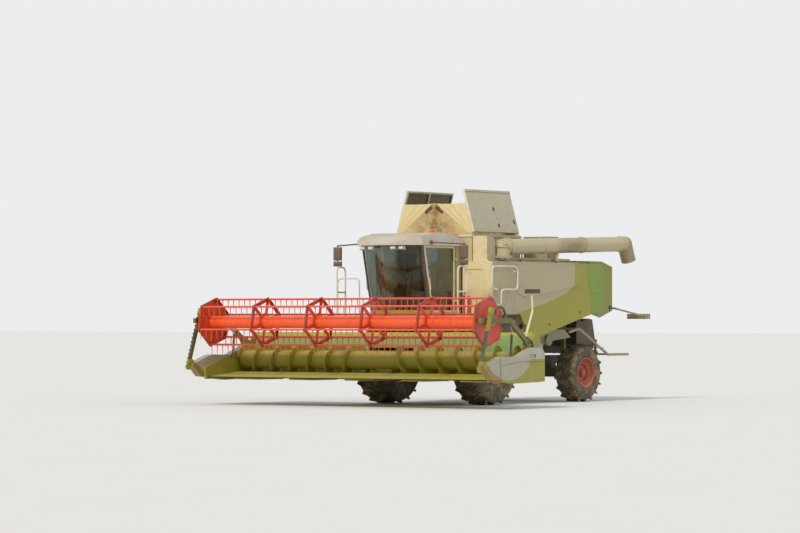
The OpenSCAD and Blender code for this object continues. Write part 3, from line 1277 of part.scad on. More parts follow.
// Gussets close the gaps between the lids; the middle triangles fold in under them
gusset_w = 960;
gusset_h = 710;
gusset_t = 8;
gusset_z = tank_top - 20;
gusset_in = sheet_t + 12;
gusset_pin_d = 10;
module gusset(y) {
    difference() {
        union() {
            side_plate_y(y - gusset_t / 2, gusset_t, [[-gusset_w, gusset_z + 10],
                [gusset_w, gusset_z + 10], [40, gusset_z + gusset_h], [-40, gusset_z + gusset_h]]);
            for (x = gusset_hinges) x_cyl(x, x + 60, y, gusset_z, 22, 32);
            for (x = gusset_hinges) block([x, y - 4, gusset_z], [x + 60, y + 4, gusset_z + 11]);
        }
        for (x = gusset_hinges) x_cyl(x - 1, x + 61, y, gusset_z, gusset_pin_d + 2 * pin_gap, 32);
    }
    // Two short bars near the apex
    for (x = [-130, 90]) block([x, y - 14, gusset_z + gusset_h - 190],
        [x + 40, y - 3, gusset_z + gusset_h - 110]);
}
gusset_hinges = [-700, -30, 640];
module gusset_front() color(panel_grey) placed() gusset(tank_y0 + gusset_in);
module gusset_rear() color(panel_grey) placed() mirror_y(tank_y0 + tank_y1)
    gusset(tank_y0 + gusset_in);
module mirror_y(s) { translate([0, s, 0]) mirror([0, 1, 0]) children(); }
module gusset_pins() {
    for (m = [0, 1]) mirror_y_if(m) for (x = gusset_hinges) {
        x_cyl(x - 20, x + 80, tank_y0 + gusset_in, gusset_z, gusset_pin_d, 24);
        for (s = [-20, 66]) block([x + s, tank_y0 + sheet_t - 1, gusset_z - 6],
            [x + s + 14, tank_y0 + gusset_in + 6, gusset_z + 6]);
    }
}
module mirror_y_if(m) {
    if (m == 1) mirror_y(tank_y0 + tank_y1) children();
    else children();
}
// Fabric corners between each gusset and the lids
module gusset_corners() color([0.62, 0.57, 0.48]) placed()
    for (m = [0, 1]) mirror_y_if(m) both_sides()
        side_plate_y(tank_y0 + gusset_in - 3, 6, [
            [gusset_edge(corner_z0) + 2 * fit, corner_z0], [lid_line(corner_z0), corner_z0],
            [lid_line(corner_z1), corner_z1], [gusset_edge(corner_z1) + 2 * fit, corner_z1]]);
corner_z0 = tank_top + 16;
corner_z1 = gusset_z + gusset_h - 10;
// Slanted edge of a gusset, and middle plane of an open lid, at a height
function gusset_edge(z) = gusset_w
    - (z - gusset_z - 10) * (gusset_w - 40) / (gusset_h - 10);
function lid_line(z) = lid_hinge_x - (z - lid_hinge_z) / tan(lid_open) - 12;

chassis();
front_axle();
threshing_body();
grain_tank();
front_wall();
engine();
engine_deck();
rear_hood();
side_panel_left();
side_panel_right();
cab_frame();
cab_roof();
cab_glass();
cab_door();
door_glass();
seat();
steering();
mirrors();
platform();
handrails();
auger_turret();
unloading_auger();
chopper();
rear_guards();
rear_axle();
knuckle_left();
knuckle_right();
rim_front_left();
rim_front_right();
tyre_front_left();
tyre_front_right();
rim_rear_left();
rim_rear_right();
tyre_rear_left();
tyre_rear_right();
feeder_house();
lift_barrels();
lift_rods();
header_frame();
cutter_bar();
dividers();
side_knives();
intake_auger();
reel_arms();
reel_barrels();
reel_rods();
reel_carriages();
reel();
crop_sensor();
tank_lid_left();
tank_lid_right();
gusset_front();
gusset_rear();
gusset_corners();
for (i = [1:6]) tine_bar(i);
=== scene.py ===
"""Looks of a combine harvester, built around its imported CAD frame. Lengths are in metres."""
import math

import bmesh
import bpy
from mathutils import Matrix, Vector


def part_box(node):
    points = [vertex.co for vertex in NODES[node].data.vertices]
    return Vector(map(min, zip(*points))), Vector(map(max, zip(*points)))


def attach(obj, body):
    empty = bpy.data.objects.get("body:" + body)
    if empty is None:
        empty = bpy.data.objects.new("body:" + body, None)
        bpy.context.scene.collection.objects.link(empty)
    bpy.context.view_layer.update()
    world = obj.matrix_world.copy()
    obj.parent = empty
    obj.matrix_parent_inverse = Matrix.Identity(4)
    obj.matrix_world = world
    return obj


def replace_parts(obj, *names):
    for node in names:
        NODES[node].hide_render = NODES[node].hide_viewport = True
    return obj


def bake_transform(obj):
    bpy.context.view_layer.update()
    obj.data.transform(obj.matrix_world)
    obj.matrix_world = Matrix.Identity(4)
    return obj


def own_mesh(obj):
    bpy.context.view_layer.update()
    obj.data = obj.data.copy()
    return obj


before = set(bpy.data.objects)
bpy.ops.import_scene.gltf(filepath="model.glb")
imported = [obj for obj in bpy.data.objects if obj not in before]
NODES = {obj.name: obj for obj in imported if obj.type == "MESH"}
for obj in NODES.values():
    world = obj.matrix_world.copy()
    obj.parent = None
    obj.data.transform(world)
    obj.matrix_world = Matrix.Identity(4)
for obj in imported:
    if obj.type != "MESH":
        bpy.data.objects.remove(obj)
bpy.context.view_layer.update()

# How far wheel bolts, hub caps and rail feet stand off what carries them
STAND_OFF = 0.0002
# The front axle stands at Y = 0 in the numbers below, as in the CAD source
_low, _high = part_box("tyre_front_left")
SHIFT = (_low.y + _high.y) / 2


def at(x, y, z):
    """A point given from the front axle, in the model's frame."""
    return Vector((x, y + SHIFT, z))


# Faces of the CAD that pieces stand on, with the 0.2 or 0.3 mm that they stand off
PANEL_X = 1.5902
HOOD_X = 1.4002
RAIL_WALL_X = 1.5903
PLATFORM_TOP = 1.9403
SHELF_TOP = 3.1523
LAMP_Y = 6.3002
# The tank lids' hinge line (X, Z), how far they stand open in degrees, and the way up an open lid
LID_HINGE = (1.03, 3.75)
LID_OPEN = 74
LID_IN, LID_UP = math.cos(math.radians(LID_OPEN)), math.sin(math.radians(LID_OPEN))
# From the hinge line to what stands on the lid's outer face
LID_FACE = 0.0203
# The reel's axis (Y, Z), with Y from the front axle
REEL_AXIS = (-3.24, 1.8)

# Materials


def srgb(r, g, b):
    """A colour of 0 to 255 as Blender's linear colour."""
    def lin(c):
        c /= 255
        return c / 12.92 if c <= 0.04045 else ((c + 0.055) / 1.055) ** 2.4
    return (lin(r), lin(g), lin(b), 1)


LIME = srgb(146, 142, 20)
GREY = srgb(172, 162, 128)
CREAM = srgb(232, 214, 170)
# A greener tone for the rear side faces that turn inward, standing in for how they are lit: painted light
REAR_PAINTED_LIGHT_GREEN = srgb(112, 142, 28)
BLACK = srgb(34, 34, 36)
DUST = srgb(176, 156, 118)
SOIL = srgb(112, 92, 66)
STEEL = srgb(168, 164, 156)
RUST = srgb(110, 66, 40)
# About what a wave texture of scale 1 draws, dark and bright stripes counted alike
STRIPES_PER_METRE = 6.28


class Net:
    """A material's node tree, built by short calls."""

    def __init__(self, name):
        self.mat = bpy.data.materials.new(name)
        self.mat.use_nodes = True
        self.tree = self.mat.node_tree
        self.tree.nodes.clear()
        self.out = self.add("ShaderNodeOutputMaterial")
        self.bsdf = self.add("ShaderNodeBsdfPrincipled")
        self.link(self.bsdf.outputs[0], self.out.inputs[0])
        self.coord = self.add("ShaderNodeTexCoord")
        self.place = self.coord.outputs["Object"]

    def add(self, kind, **settings):
        node = self.tree.nodes.new(kind)
        for key, value in settings.items():
            setattr(node, key, value)
        return node

    def link(self, a, b):
        self.tree.links.new(a, b)

    def put(self, socket, value):
        if isinstance(value, bpy.types.NodeSocket):
            self.link(value, socket)
        else:
            socket.default_value = value

    def math(self, op, a, b=0.0, clamp=False):
        n = self.add("ShaderNodeMath", operation=op, use_clamp=clamp)
        self.put(n.inputs[0], a)
        self.put(n.inputs[1], b)
        return n.outputs[0]

    def mix(self, factor, a, b):
        n = self.add("ShaderNodeMix", data_type="RGBA")
        self.put(n.inputs[0], factor)
        self.put(n.inputs[6], a)
        self.put(n.inputs[7], b)
        return n.outputs[2]

    def stretch(self, scale):
        n = self.add("ShaderNodeMapping")
        n.inputs["Scale"].default_value = scale
        self.link(self.place, n.inputs["Vector"])
        return n.outputs[0]

    def noise(self, scale, detail=4.0, rough=0.6, stretched=None):
        n = self.add("ShaderNodeTexNoise")
        self.link(self.stretch(stretched) if stretched else self.place, n.inputs["Vector"])
        n.inputs["Scale"].default_value = scale
        n.inputs["Detail"].default_value = detail
        n.inputs["Roughness"].default_value = rough
        return n.outputs["Fac"]

    def span(self, value, low, high, to_low=0.0, to_high=1.0):
        """value from low to high becomes to_low to to_high, smoothly and clamped."""
        n = self.add("ShaderNodeMapRange", interpolation_type="SMOOTHSTEP")
        self.put(n.inputs["Value"], value)
        for key, number in (("From Min", low), ("From Max", high), ("To Min", to_low), ("To Max", to_high)):
            n.inputs[key].default_value = number
        return n.outputs[0]

    def axis(self, which, source=None):
        n = self.add("ShaderNodeSeparateXYZ")
        self.link(source or self.place, n.inputs[0])
        return n.outputs["XYZ".index(which)]

    def distance(self, y, z):
        """How far a point is from the cross axis at (y, z), with Y from the front axle."""
        dy = self.math("SUBTRACT", self.axis("Y"), y + SHIFT)
        dz = self.math("SUBTRACT", self.axis("Z"), z)
        squares = [self.math("MULTIPLY", d, d) for d in (dy, dz)]
        return self.math("SQRT", self.math("ADD", *squares))

    def band(self, which, low, high):
        """1 where a measure lies within low to high.

        which is X, Y or Z, "side" for the distance from the middle plane, or the (Y, Z) of a cross axis for
        the distance from it. Y counts from the front axle."""
        if which == "side":
            value = self.math("ABSOLUTE", self.axis("X"))
        elif isinstance(which, str):
            value = self.axis(which)
        else:
            value = self.distance(*which)
        shift, soft = (SHIFT if which == "Y" else 0), 0.003
        over = self.span(value, low + shift - soft, low + shift + soft)
        under = self.span(value, high + shift - soft, high + shift + soft, 1.0, 0.0)
        return self.math("MULTIPLY", over, under)

    def zones(self, colour, zones):
        """colour, with others where all their bands meet."""
        for other, bands in zones:
            mask = 1.0
            for band in bands:
                mask = self.math("MULTIPLY", mask, self.band(*band))
            colour = self.mix(mask, colour, other)
        return colour

    def stripes(self, direction, width, distortion=0.0):
        """Bright and dark stripes that follow each other in direction, each about width wide."""
        n = self.add("ShaderNodeTexWave", wave_type="BANDS", bands_direction=direction)
        self.link(self.place, n.inputs["Vector"])
        n.inputs["Scale"].default_value = 1 / (width * STRIPES_PER_METRE)
        n.inputs["Distortion"].default_value = distortion
        return n.outputs["Fac"]

    def edges(self):
        """1 along sharp edges and 0 on flat faces."""
        bevel = self.add("ShaderNodeBevel", samples=4)
        bevel.inputs["Radius"].default_value = 0.012
        geo = self.add("ShaderNodeNewGeometry")
        dot = self.add("ShaderNodeVectorMath", operation="DOT_PRODUCT")
        self.link(bevel.outputs[0], dot.inputs[0])
        self.link(geo.outputs["Normal"], dot.inputs[1])
        return self.span(dot.outputs["Value"], 0.99, 0.8, 0.0, 1.0)

    def bump(self, height, strength, distance=0.004):
        n = self.add("ShaderNodeBump")
        n.inputs["Strength"].default_value = strength
        n.inputs["Distance"].default_value = distance
        self.link(height, n.inputs["Height"])
        self.link(n.outputs[0], self.bsdf.inputs["Normal"])

    def finish(self, colour, rough, metallic=0.0, **sockets):
        self.put(self.bsdf.inputs["Base Color"], colour)
        self.put(self.bsdf.inputs["Roughness"], rough)
        self.put(self.bsdf.inputs["Metallic"], metallic)
        for name, value in sockets.items():
            self.bsdf.inputs[name.replace("_", " ")].default_value = value
        return self.mat


def dusted(net, colour, amount):
    """colour with dust on upper faces and run marks down the sides, more near the ground, and its mask."""
    ground, top = 0.4, 3.2
    up = net.span(net.axis("Z", net.coord.outputs["Normal"]), 0.2, 0.95)
    height = net.span(net.axis("Z"), ground, top, 1.0, 0.25)
    cloud = net.span(net.noise(1.3, 6), 0.35, 0.75)
    runs = net.span(net.noise(2.2, 5, 0.7, (3.2, 3.2, 0.35)), 0.42, 0.8)
    side = net.math("ADD", net.math("MULTIPLY", cloud, 0.55), net.math("MULTIPLY", runs, 0.45))
    side = net.math("MULTIPLY", side, height)
    mask = net.math("MAXIMUM", net.math("MULTIPLY", up, net.math("ADD", cloud, 0.35)), side)
    mask = net.math("MULTIPLY", mask, amount, clamp=True)
    fine = net.mix(net.noise(38, 3), DUST, SOIL)
    dust = net.mix(net.span(net.noise(3.1, 3), 0.3, 0.8, 0.0, 0.5), DUST, fine)
    return net.mix(mask, colour, dust), mask


def faded(net, colour):
    """colour, bleached towards dust in wide patches."""
    return net.mix(net.span(net.noise(0.9, 5), 0.35, 0.7, 0.0, 0.12), colour, DUST)


def enamel(net, colour, dust, rough, wear):
    """Finishes enamel: edges worn to steel, dust, a thin coat and a faint orange peel."""
    chips = net.math("MULTIPLY", net.edges(), net.span(net.noise(24, 4), 0.46, 0.6))
    worn = net.mix(net.math("MULTIPLY", chips, wear), colour, STEEL)
    body, mask = dusted(net, worn, dust)
    net.bump(net.noise(120, 2), 0.05)
    return net.finish(body, net.span(mask, 0.0, 0.8, rough, 0.9), Coat_Weight=0.15)


def painted(name, colour, dust=0.45, rough=0.38, wear=0.6, zones=()):
    """Enamel on sheet metal with faded patches and stains."""
    net = Net(name)
    shade = net.span(net.noise(6.5, 4), 0.45, 0.8, 0.0, 0.2)
    tone = net.mix(shade, faded(net, net.zones(colour, zones)), (0, 0, 0, 1))
    return enamel(net, tone, dust, rough, wear)


def worn_metal(name, colour, rough=0.4, rust=0.3, dust=0.4, metallic=0.85):
    """Bare or thinly painted metal: streaks up and down, rust in patches and dust."""
    net = Net(name)
    rusty = net.span(net.noise(9, 6, 0.7), 0.52, 0.68, 0.0, rust)
    tone = net.mix(net.noise(60, 2, 0.5, (1, 1, 0.1)), colour, tuple(c * 0.6 for c in colour[:3]) + (1,))
    body, mask = dusted(net, net.mix(rusty, tone, RUST), dust)
    net.bump(net.noise(90, 4), 0.12)
    metal = net.math("MULTIPLY", net.math("SUBTRACT", 1.0, net.math("MAXIMUM", mask, rusty)), metallic)
    return net.finish(body, net.span(mask, 0, 0.8, rough, 0.9), metal)


def rubber(name):
    """Tyre rubber, browned by dust, with patches of dry mud."""
    net = Net(name)
    base = net.mix(net.noise(4, 5), srgb(58, 52, 44), srgb(92, 81, 62))
    cake = net.span(net.noise(5.5, 7, 0.7), 0.44, 0.62, 0.0, 0.75)
    soil = net.mix(net.noise(26, 4), SOIL, DUST)
    net.bump(net.math("ADD", net.noise(70, 5), net.math("MULTIPLY", cake, 1.5)), 0.35, 0.01)
    return net.finish(net.mix(cake, base, soil), net.span(cake, 0, 1, 0.72, 0.97))


def plastic(name, colour, rough=0.5, dust=0.3):
    """Moulded plastic with a fine leather grain."""
    net = Net(name)
    shade = net.mix(net.noise(5, 4), colour, tuple(min(1, c * 1.35 + 0.004) for c in colour[:3]) + (1,))
    body, mask = dusted(net, shade, dust)
    net.bump(net.noise(260, 2), 0.2, 0.001)
    return net.finish(body, net.span(mask, 0, 0.8, rough, 0.85))


def woven(name, colour, other, thread, rough=0.95):
    """Dusty cloth in two colours, with crossing stripes for its threads."""
    net = Net(name)
    x, y, z = (net.stripes(direction, thread, 0.6) for direction in "XYZ")
    weave = net.math("MULTIPLY", x, net.math("MAXIMUM", y, z))
    body, _ = dusted(net, net.mix(weave, colour, other), 0.3)
    net.bump(weave, 0.4, 0.001)
    return net.finish(body, rough, Sheen_Weight=0.3)


def glass(name, tint, film):
    """Tinted safety glass with a film of dust in streaks."""
    net = Net(name)
    streaks = net.span(net.noise(3, 5, 0.7, (1, 1, 0.4)), 0.4, 0.75, 0.0, film)
    clear = net.add("ShaderNodeBsdfTransparent")
    clear.inputs["Color"].default_value = tint
    coat = net.add("ShaderNodeBsdfGlossy")
    coat.inputs["Roughness"].default_value = 0.03
    coat.inputs["Color"].default_value = (0.8, 0.85, 0.9, 1)
    sheen = net.add("ShaderNodeFresnel")
    sheen.inputs["IOR"].default_value = 1.45
    pane = net.add("ShaderNodeMixShader")
    net.link(net.math("MULTIPLY", sheen.outputs[0], 0.8), pane.inputs[0])
    net.link(clear.outputs[0], pane.inputs[1])
    net.link(coat.outputs[0], pane.inputs[2])
    net.finish(DUST, 0.9)
    dirty = net.add("ShaderNodeMixShader")
    net.link(streaks, dirty.inputs[0])
    net.link(pane.outputs[0], dirty.inputs[1])
    net.link(net.bsdf.outputs[0], dirty.inputs[2])
    net.link(dirty.outputs[0], net.out.inputs[0])
    return net.mat


def two_tone(name, low_points):
    """Side panel: grey above a line of (Y, Z) points from the front axle, lime below and behind it."""
    net = Net(name)
    y, z = net.axis("Y"), net.axis("Z")
    # The line's height at each Y, from straight stretches
    line = None
    for (y0, z0), (y1, z1) in zip(low_points, low_points[1:]):
        n = net.add("ShaderNodeMapRange", clamp=True)
        net.put(n.inputs["Value"], y)
        ends = {"From Min": y0 + SHIFT, "From Max": y1 + SHIFT, "To Min": 0, "To Max": z1 - z0}
        for key, number in ends.items():
            n.inputs[key].default_value = number
        line = n.outputs[0] if line is None else net.math("ADD", line, n.outputs[0])
    over = net.math("SUBTRACT", z, net.math("ADD", line, low_points[0][1]))
    grey = net.span(over, -0.004, 0.004)
    # The rear part, behind a leaning seam where the side turns inward, is greener: painted light for how that
    # face is lit
    seam_y, seam_top, lean = 3.556 + SHIFT, 3.199, 0.221
    behind = net.math("SUBTRACT", y, net.math("MULTIPLY", net.math("SUBTRACT", seam_top, z), lean))
    lime = net.mix(net.span(behind, seam_y - 0.004, seam_y + 0.004), LIME, REAR_PAINTED_LIGHT_GREEN)
    # A dark line along the seam: a painted shadow line in the crease
    seam = net.math("ABSOLUTE", net.math("SUBTRACT", behind, seam_y))
    lime = net.mix(net.span(seam, 0.003, 0.007, 0.7, 0.0), lime, BLACK)
    return enamel(net, faded(net, net.mix(grey, lime, GREY)), 0.3, 0.38, 0.5)


LIME_PAINT = painted("lime_enamel", LIME, 0.4)
GREY_PAINT = painted("grey_enamel", GREY, 0.5)
CREAM_PAINT = painted("cream_enamel", CREAM, 0.5, 0.42)
WHITE_PAINT = painted("white_enamel", srgb(226, 220, 200), 0.35, 0.4)
ROOF_PAINT = painted("roof_plastic", srgb(196, 190, 176), 0.5, 0.4)
# The hood's rear sides, where they turn inward, get the same greener tone: painted light for how they are lit
HOOD_PAINT = painted("hood_enamel", srgb(132, 134, 34), 0.3, zones=[
    (REAR_PAINTED_LIGHT_GREEN, [("side", 1.2, 1.39), ("Y", 3.6, 4.94)])])
FRONT_PAINT = painted("front_wall_enamel", GREY, 0.3, zones=[(CREAM, [("Y", -0.2, -0.1)])])
TANK_PAINT = painted("tank_enamel", GREY, 0.4, zones=[(CREAM, [("Y", -0.14, -0.1), ("X", 0.7, 1.5)])])
DECK_PAINT = painted("deck_enamel", GREY, 0.5)
REEL_PAINT = painted("reel_enamel", srgb(214, 58, 30), 0.1, 0.35, 0.6, zones=[
    (srgb(255, 92, 36), [(REEL_AXIS, 0, 0.137)]), (srgb(164, 36, 22), [(REEL_AXIS, 0.45, 0.6)])])
RIM_PAINT = painted("rim_enamel", srgb(168, 36, 26), 0.55, 0.45)
BLACK_PAINT = painted("chassis_paint", srgb(48, 44, 36), 0.6, 0.6, 0.8)
ARM_PAINT = painted("arm_green", srgb(98, 98, 28), 0.25, 0.45, 0.8)
HEADER_PAINT = painted("header_green", LIME, 0.35, 0.4, zones=[
    # A pale teal band on the upper back wall: painted shade with a painted sky reflection
    (srgb(140, 178, 108), [("side", 0, 3.745), ("Z", 1.16, 1.5)]),
    (srgb(178, 178, 42), [("side", 0, 3.745), ("Z", 0, 1.16)]),
    # A lighter yellow strip along the top of the back wall: a painted highlight
    (srgb(192, 187, 84), [("side", 0, 3.745), ("Z", 1.5, 1.6)]),
    # A black band low behind the auger: painted shade
    (BLACK, [("side", 0, 3.6), ("Y", -1.7, -1.2), ("Z", 0.4, 0.7)])])
DIVIDER_PAINT = painted("divider_enamel", LIME, 0.3, zones=[
    (srgb(142, 116, 44), [("Y", -3.9, -3.1)]),
    (srgb(166, 164, 144), [("Y", -3.85, -2.138), ((-2.888, 1.651), 0, 1.054)]),
    (srgb(174, 174, 160), [("Y", -2.51, -1.5), ("Z", 1.03, 1.4)])])
KNIFE_PAINT = painted("knife_enamel", srgb(60, 84, 36), 0.35, 0.45, zones=[
    (LIME, [("Z", 1.62, 2.3)]), (LIME, [("Z", 0.7, 1.0)])])
PLATFORM_PAINT = painted("platform_enamel", LIME, 0.45, zones=[
    (srgb(205, 44, 30), [("X", 0.9, 1.1), ("Y", -0.36, -0.16), ("Z", 1.95, 2.6)])])
GUARD_PAINT = painted("guard_enamel", srgb(150, 140, 112), 0.7, 0.5, zones=[(BLACK, [("Z", 2.1, 2.4)])])
SENSOR_PAINT = painted("sensor_enamel", srgb(228, 218, 186), 0.3, 0.4, zones=[(BLACK, [("Z", 2.394, 2.6)])])
CAB_PAINT = painted("cab_enamel", srgb(164, 148, 108), 0.4, 0.45, zones=[
    (srgb(52, 44, 36), [("Y", -2.4, -1.1), ("Z", 2.06, 3.5)]), (CREAM, [("Z", 1.6, 2.06)])])
LID_PAINT = painted("lid_enamel", srgb(176, 170, 144), 0.3, 0.45, zones=[
    (srgb(232, 226, 206), [("Y", -0.2, -0.012)])])
# The lid's inner face: a pale frame and middle rib, with the two panels between them darkened by dirt and by
# painted shade
FRAME_LID_PAINT = painted("framed_lid_enamel", srgb(222, 216, 196), 0.3, 0.45, zones=[
    (srgb(112, 104, 76), [("X", -1.018, -0.7), ("Y", low, high), ("Z", 3.83, 4.66)])
    for low, high in ((0.015, 0.79), (0.84, 1.665))])
CAST = worn_metal("cast_iron", srgb(70, 66, 62), 0.7, 0.4, 0.6, 0.4)
STEEL_WORN = worn_metal("worn_steel", STEEL, 0.32, 0.35, 0.3)
BLADE = worn_metal("blade_steel", srgb(96, 92, 86), 0.4, 0.4, 0.3)
CHROME = worn_metal("hard_chrome", srgb(214, 214, 216), 0.12, 0.0, 0.1, 1.0)
TYRE = rubber("tyre_rubber")
HOSE = plastic("hose_rubber", srgb(26, 26, 27), 0.55, 0.25)
PLASTIC = plastic("black_plastic", srgb(30, 30, 31), 0.55)
MIRROR_PLASTIC = plastic("mirror_plastic", srgb(92, 78, 64), 0.5, 0.4)
TINE = plastic("tine_plastic", srgb(214, 78, 50), 0.5, 0.15)
TARP = woven("coated_fabric", srgb(228, 208, 158), srgb(208, 186, 136), 0.012, 0.85)
BROWN_WEB = woven("strap_web", srgb(84, 66, 40), srgb(62, 48, 30), 0.004, 0.9)
SEAT_CLOTH = woven("seat_cloth", srgb(46, 47, 52), srgb(70, 71, 78), 0.005)
PANE = glass("tinted_glass", (0.74, 0.78, 0.72, 1), 0.16)
# Points (Y, Z) where the side panel's grey meets its lime
PANEL_LINE = [(0.508, 1.937), (1.922, 2.208), (2.792, 2.455), (3.061, 2.621), (3.11, 3.138), (3.12, 3.4)]
PANEL = two_tone("two_tone_panel", PANEL_LINE)


def chaffed(name, colour, stain):
    """Sheet that chaff has stained in grains and blots, most at its middle."""
    net = Net(name)
    middle = net.span(net.math("ABSOLUTE", net.axis("X")), 0.0, 0.8, 1.0, 0.25)
    blots = net.span(net.noise(3.4, 8, 0.75), 0.36, 0.62)
    grains = net.span(net.noise(46, 5, 0.7), 0.42, 0.58)
    mask = net.math("MULTIPLY", net.math("ADD", net.math("MULTIPLY", blots, 0.7),
                                         net.math("MULTIPLY", grains, 0.4)), middle, clamp=True)
    body, dust = dusted(net, net.mix(mask, colour, stain), 0.35)
    net.bump(grains, 0.15, 0.002)
    return net.finish(body, net.span(dust, 0, 0.8, 0.65, 0.95))


def stained_tube(name, colour, stain):
    """Unloading tube: a brown smear at its middle and round the spout."""
    net = Net(name)
    y = net.axis("Y")
    ahead, behind = net.span(y, 2.2 + SHIFT, 2.9 + SHIFT), net.span(y, 3.1 + SHIFT, 3.9 + SHIFT, 1.0, 0.0)
    middle = net.math("MULTIPLY", ahead, behind)
    spout = net.span(y, 5.15 + SHIFT, 5.5 + SHIFT)
    cloud = net.span(net.noise(2.6, 6, 0.65), 0.25, 0.7, 0.35, 1.0)
    mask = net.math("MULTIPLY", net.math("MAXIMUM", middle, spout), cloud)
    tone = net.mix(net.math("MULTIPLY", mask, 0.85), colour, stain)
    return enamel(net, tone, 0.3, 0.4, 0.5)


CHAFFED = chaffed("chaff_stained_sheet", srgb(214, 190, 138), srgb(120, 84, 40))
TUBE = stained_tube("stained_tube_enamel", srgb(182, 170, 134), srgb(120, 98, 56))

# CAD nodes by finish
FINISH = [
    (LIME_PAINT, "feeder_house reel_carriages intake_auger"),
    (HOOD_PAINT, "rear_hood"),
    (PLATFORM_PAINT, "platform"),
    (DIVIDER_PAINT, "dividers"),
    (HEADER_PAINT, "header_frame"),
    (ARM_PAINT, "reel_arms"),
    (SENSOR_PAINT, "crop_sensor"),
    (GREY_PAINT, "threshing_body"),
    (DECK_PAINT, "engine_deck"),
    (TANK_PAINT, "grain_tank auger_turret"),
    (PANEL, "side_panel_left side_panel_right"),
    (FRONT_PAINT, "front_wall"),
    (CREAM_PAINT, "cab_door"),
    (CAB_PAINT, "cab_frame"),
    (WHITE_PAINT, "handrails"),
    (TUBE, "unloading_auger"),
    (LID_PAINT, "tank_lid_left"),
    (FRAME_LID_PAINT, "tank_lid_right"),
    (CHAFFED, "gusset_front gusset_rear"),
    (ROOF_PAINT, "cab_roof"),
    (GUARD_PAINT, "rear_guards"),
    (BLACK_PAINT, "chassis front_axle rear_axle knuckle_left knuckle_right engine chopper"
                  " lift_barrels reel_barrels"),
    (MIRROR_PLASTIC, "mirrors"),
    (CHROME, "lift_rods reel_rods"),
    (BLADE, "cutter_bar"),
    (KNIFE_PAINT, "side_knives"),
    (REEL_PAINT, "reel"),
    (TINE, " ".join("tine_bar_%d" % i for i in range(1, 7))),
    (RIM_PAINT, "rim_front_left rim_front_right rim_rear_left rim_rear_right"),
    (TYRE, "tyre_front_left tyre_front_right tyre_rear_left tyre_rear_right"),
    (PANE, "cab_glass door_glass"),
    (SEAT_CLOTH, "seat"),
    (PLASTIC, "steering"),
    (TARP, "gusset_corners"),
]
for material, names in FINISH:
    for name in names.split():
        data = NODES[name].data
        data.materials.clear()
        data.materials.append(material)


# Mesh helpers

def piece(name, verts, faces, material, body, smooth=False, sharp=40):
    """A mesh that rides on a CAD body; when body is a tuple (a, b, start, end), it rides on none and stays
    where it is built.
    """
    mesh = bpy.data.meshes.new(name)
    mesh.from_pydata([tuple(v) for v in verts], [], faces)
    mesh.validate()
    bm = bmesh.new()
    bm.from_mesh(mesh)
    bmesh.ops.recalc_face_normals(bm, faces=bm.faces)
    bm.to_mesh(mesh)
    bm.free()
    mesh.materials.append(material)
    obj = bpy.data.objects.new(name, mesh)
    bpy.context.scene.collection.objects.link(obj)
    if smooth:
        mesh.polygons.foreach_set("use_smooth", [True] * len(mesh.polygons))
        mesh.set_sharp_from_angle(angle=math.radians(sharp))
    if isinstance(body, str):
        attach(obj, body)
    else:
        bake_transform(obj)
    return obj


def frame_of(direction, up=Vector((0, 0, 1))):
    """Axes (a, b, n) with n along direction and b as near to up as it goes."""
    n = Vector(direction).normalized()
    if abs(n.dot(up)) > 0.98:
        up = Vector((0, 1, 0))
    a = up.cross(n).normalized()
    return a, n.cross(a), n


class Parts:
    """Gathers small closed shapes into one mesh."""

    def __init__(self):
        self.verts, self.faces = [], []

    def rings(self, rings):
        """Joins rings of equally many points; the first and last are capped."""
        base, n = len(self.verts), len(rings[0])
        for ring in rings:
            self.verts += ring
        for r in range(len(rings) - 1):
            for i in range(n):
                j = (i + 1) % n
                a = base + r * n
                self.faces.append((a + i, a + j, a + n + j, a + n + i))
        self.faces.append(tuple(base + i for i in reversed(range(n))))
        self.faces.append(tuple(base + (len(rings) - 1) * n + i for i in range(n)))

    def turned(self, centre, direction, profile, sides=12):
        """A solid of revolution: profile is (distance along direction, radius)."""
        a, b, n = frame_of(direction)
        turns = [2 * math.pi * i / sides for i in range(sides)]
        self.rings([[Vector(centre) + n * t + (a * math.cos(turn) + b * math.sin(turn)) * r for turn in turns]
                    for t, r in profile])

    def plate(self, centre, direction, up, width, height, thick, corner=0.02, edge=0.003, dome=0.0):
        """A rounded plate that lies on its face; dome raises its middle."""
        a, b, n = frame_of(direction, Vector(up))

        def ring(inset, t):
            out = []
            w, h, r = width / 2 - inset, height / 2 - inset, max(corner - inset, 0.0005)
            for turn, (sx, sy) in enumerate(((1, 1), (-1, 1), (-1, -1), (1, -1))):
                for k in range(5):
                    ang = math.radians(90 * turn + 22.5 * k)
                    x, y = sx * (w - r) + r * math.cos(ang), sy * (h - r) + r * math.sin(ang)
                    out.append(Vector(centre) + a * x + b * y + n * t)
            return out
        rows = [ring(0, 0), ring(0, thick - edge), ring(edge, thick)]
        if dome:
            step = min(width, height) / 2 * 0.28
            for k in (1, 2, 3):
                rows.append(ring(edge + step * k, thick + dome * (1 - (1 - k / 3) ** 2)))
        self.rings(rows)

    def bolt(self, centre, direction, size=0.018):
        """A washer and a hexagon head with a chamfer."""
        self.turned(centre, direction, [(0, size), (0.003, size), (0.003, size * 0.5)], 12)
        wide = size * 0.78
        self.turned(centre, direction, [(0.002, wide), (size * 0.7, wide), (size * 0.85, size * 0.6)], 6)

    def build(self, name, material, body, slot, smooth=False):
        return piece(name, self.verts, self.faces, material, body, smooth)


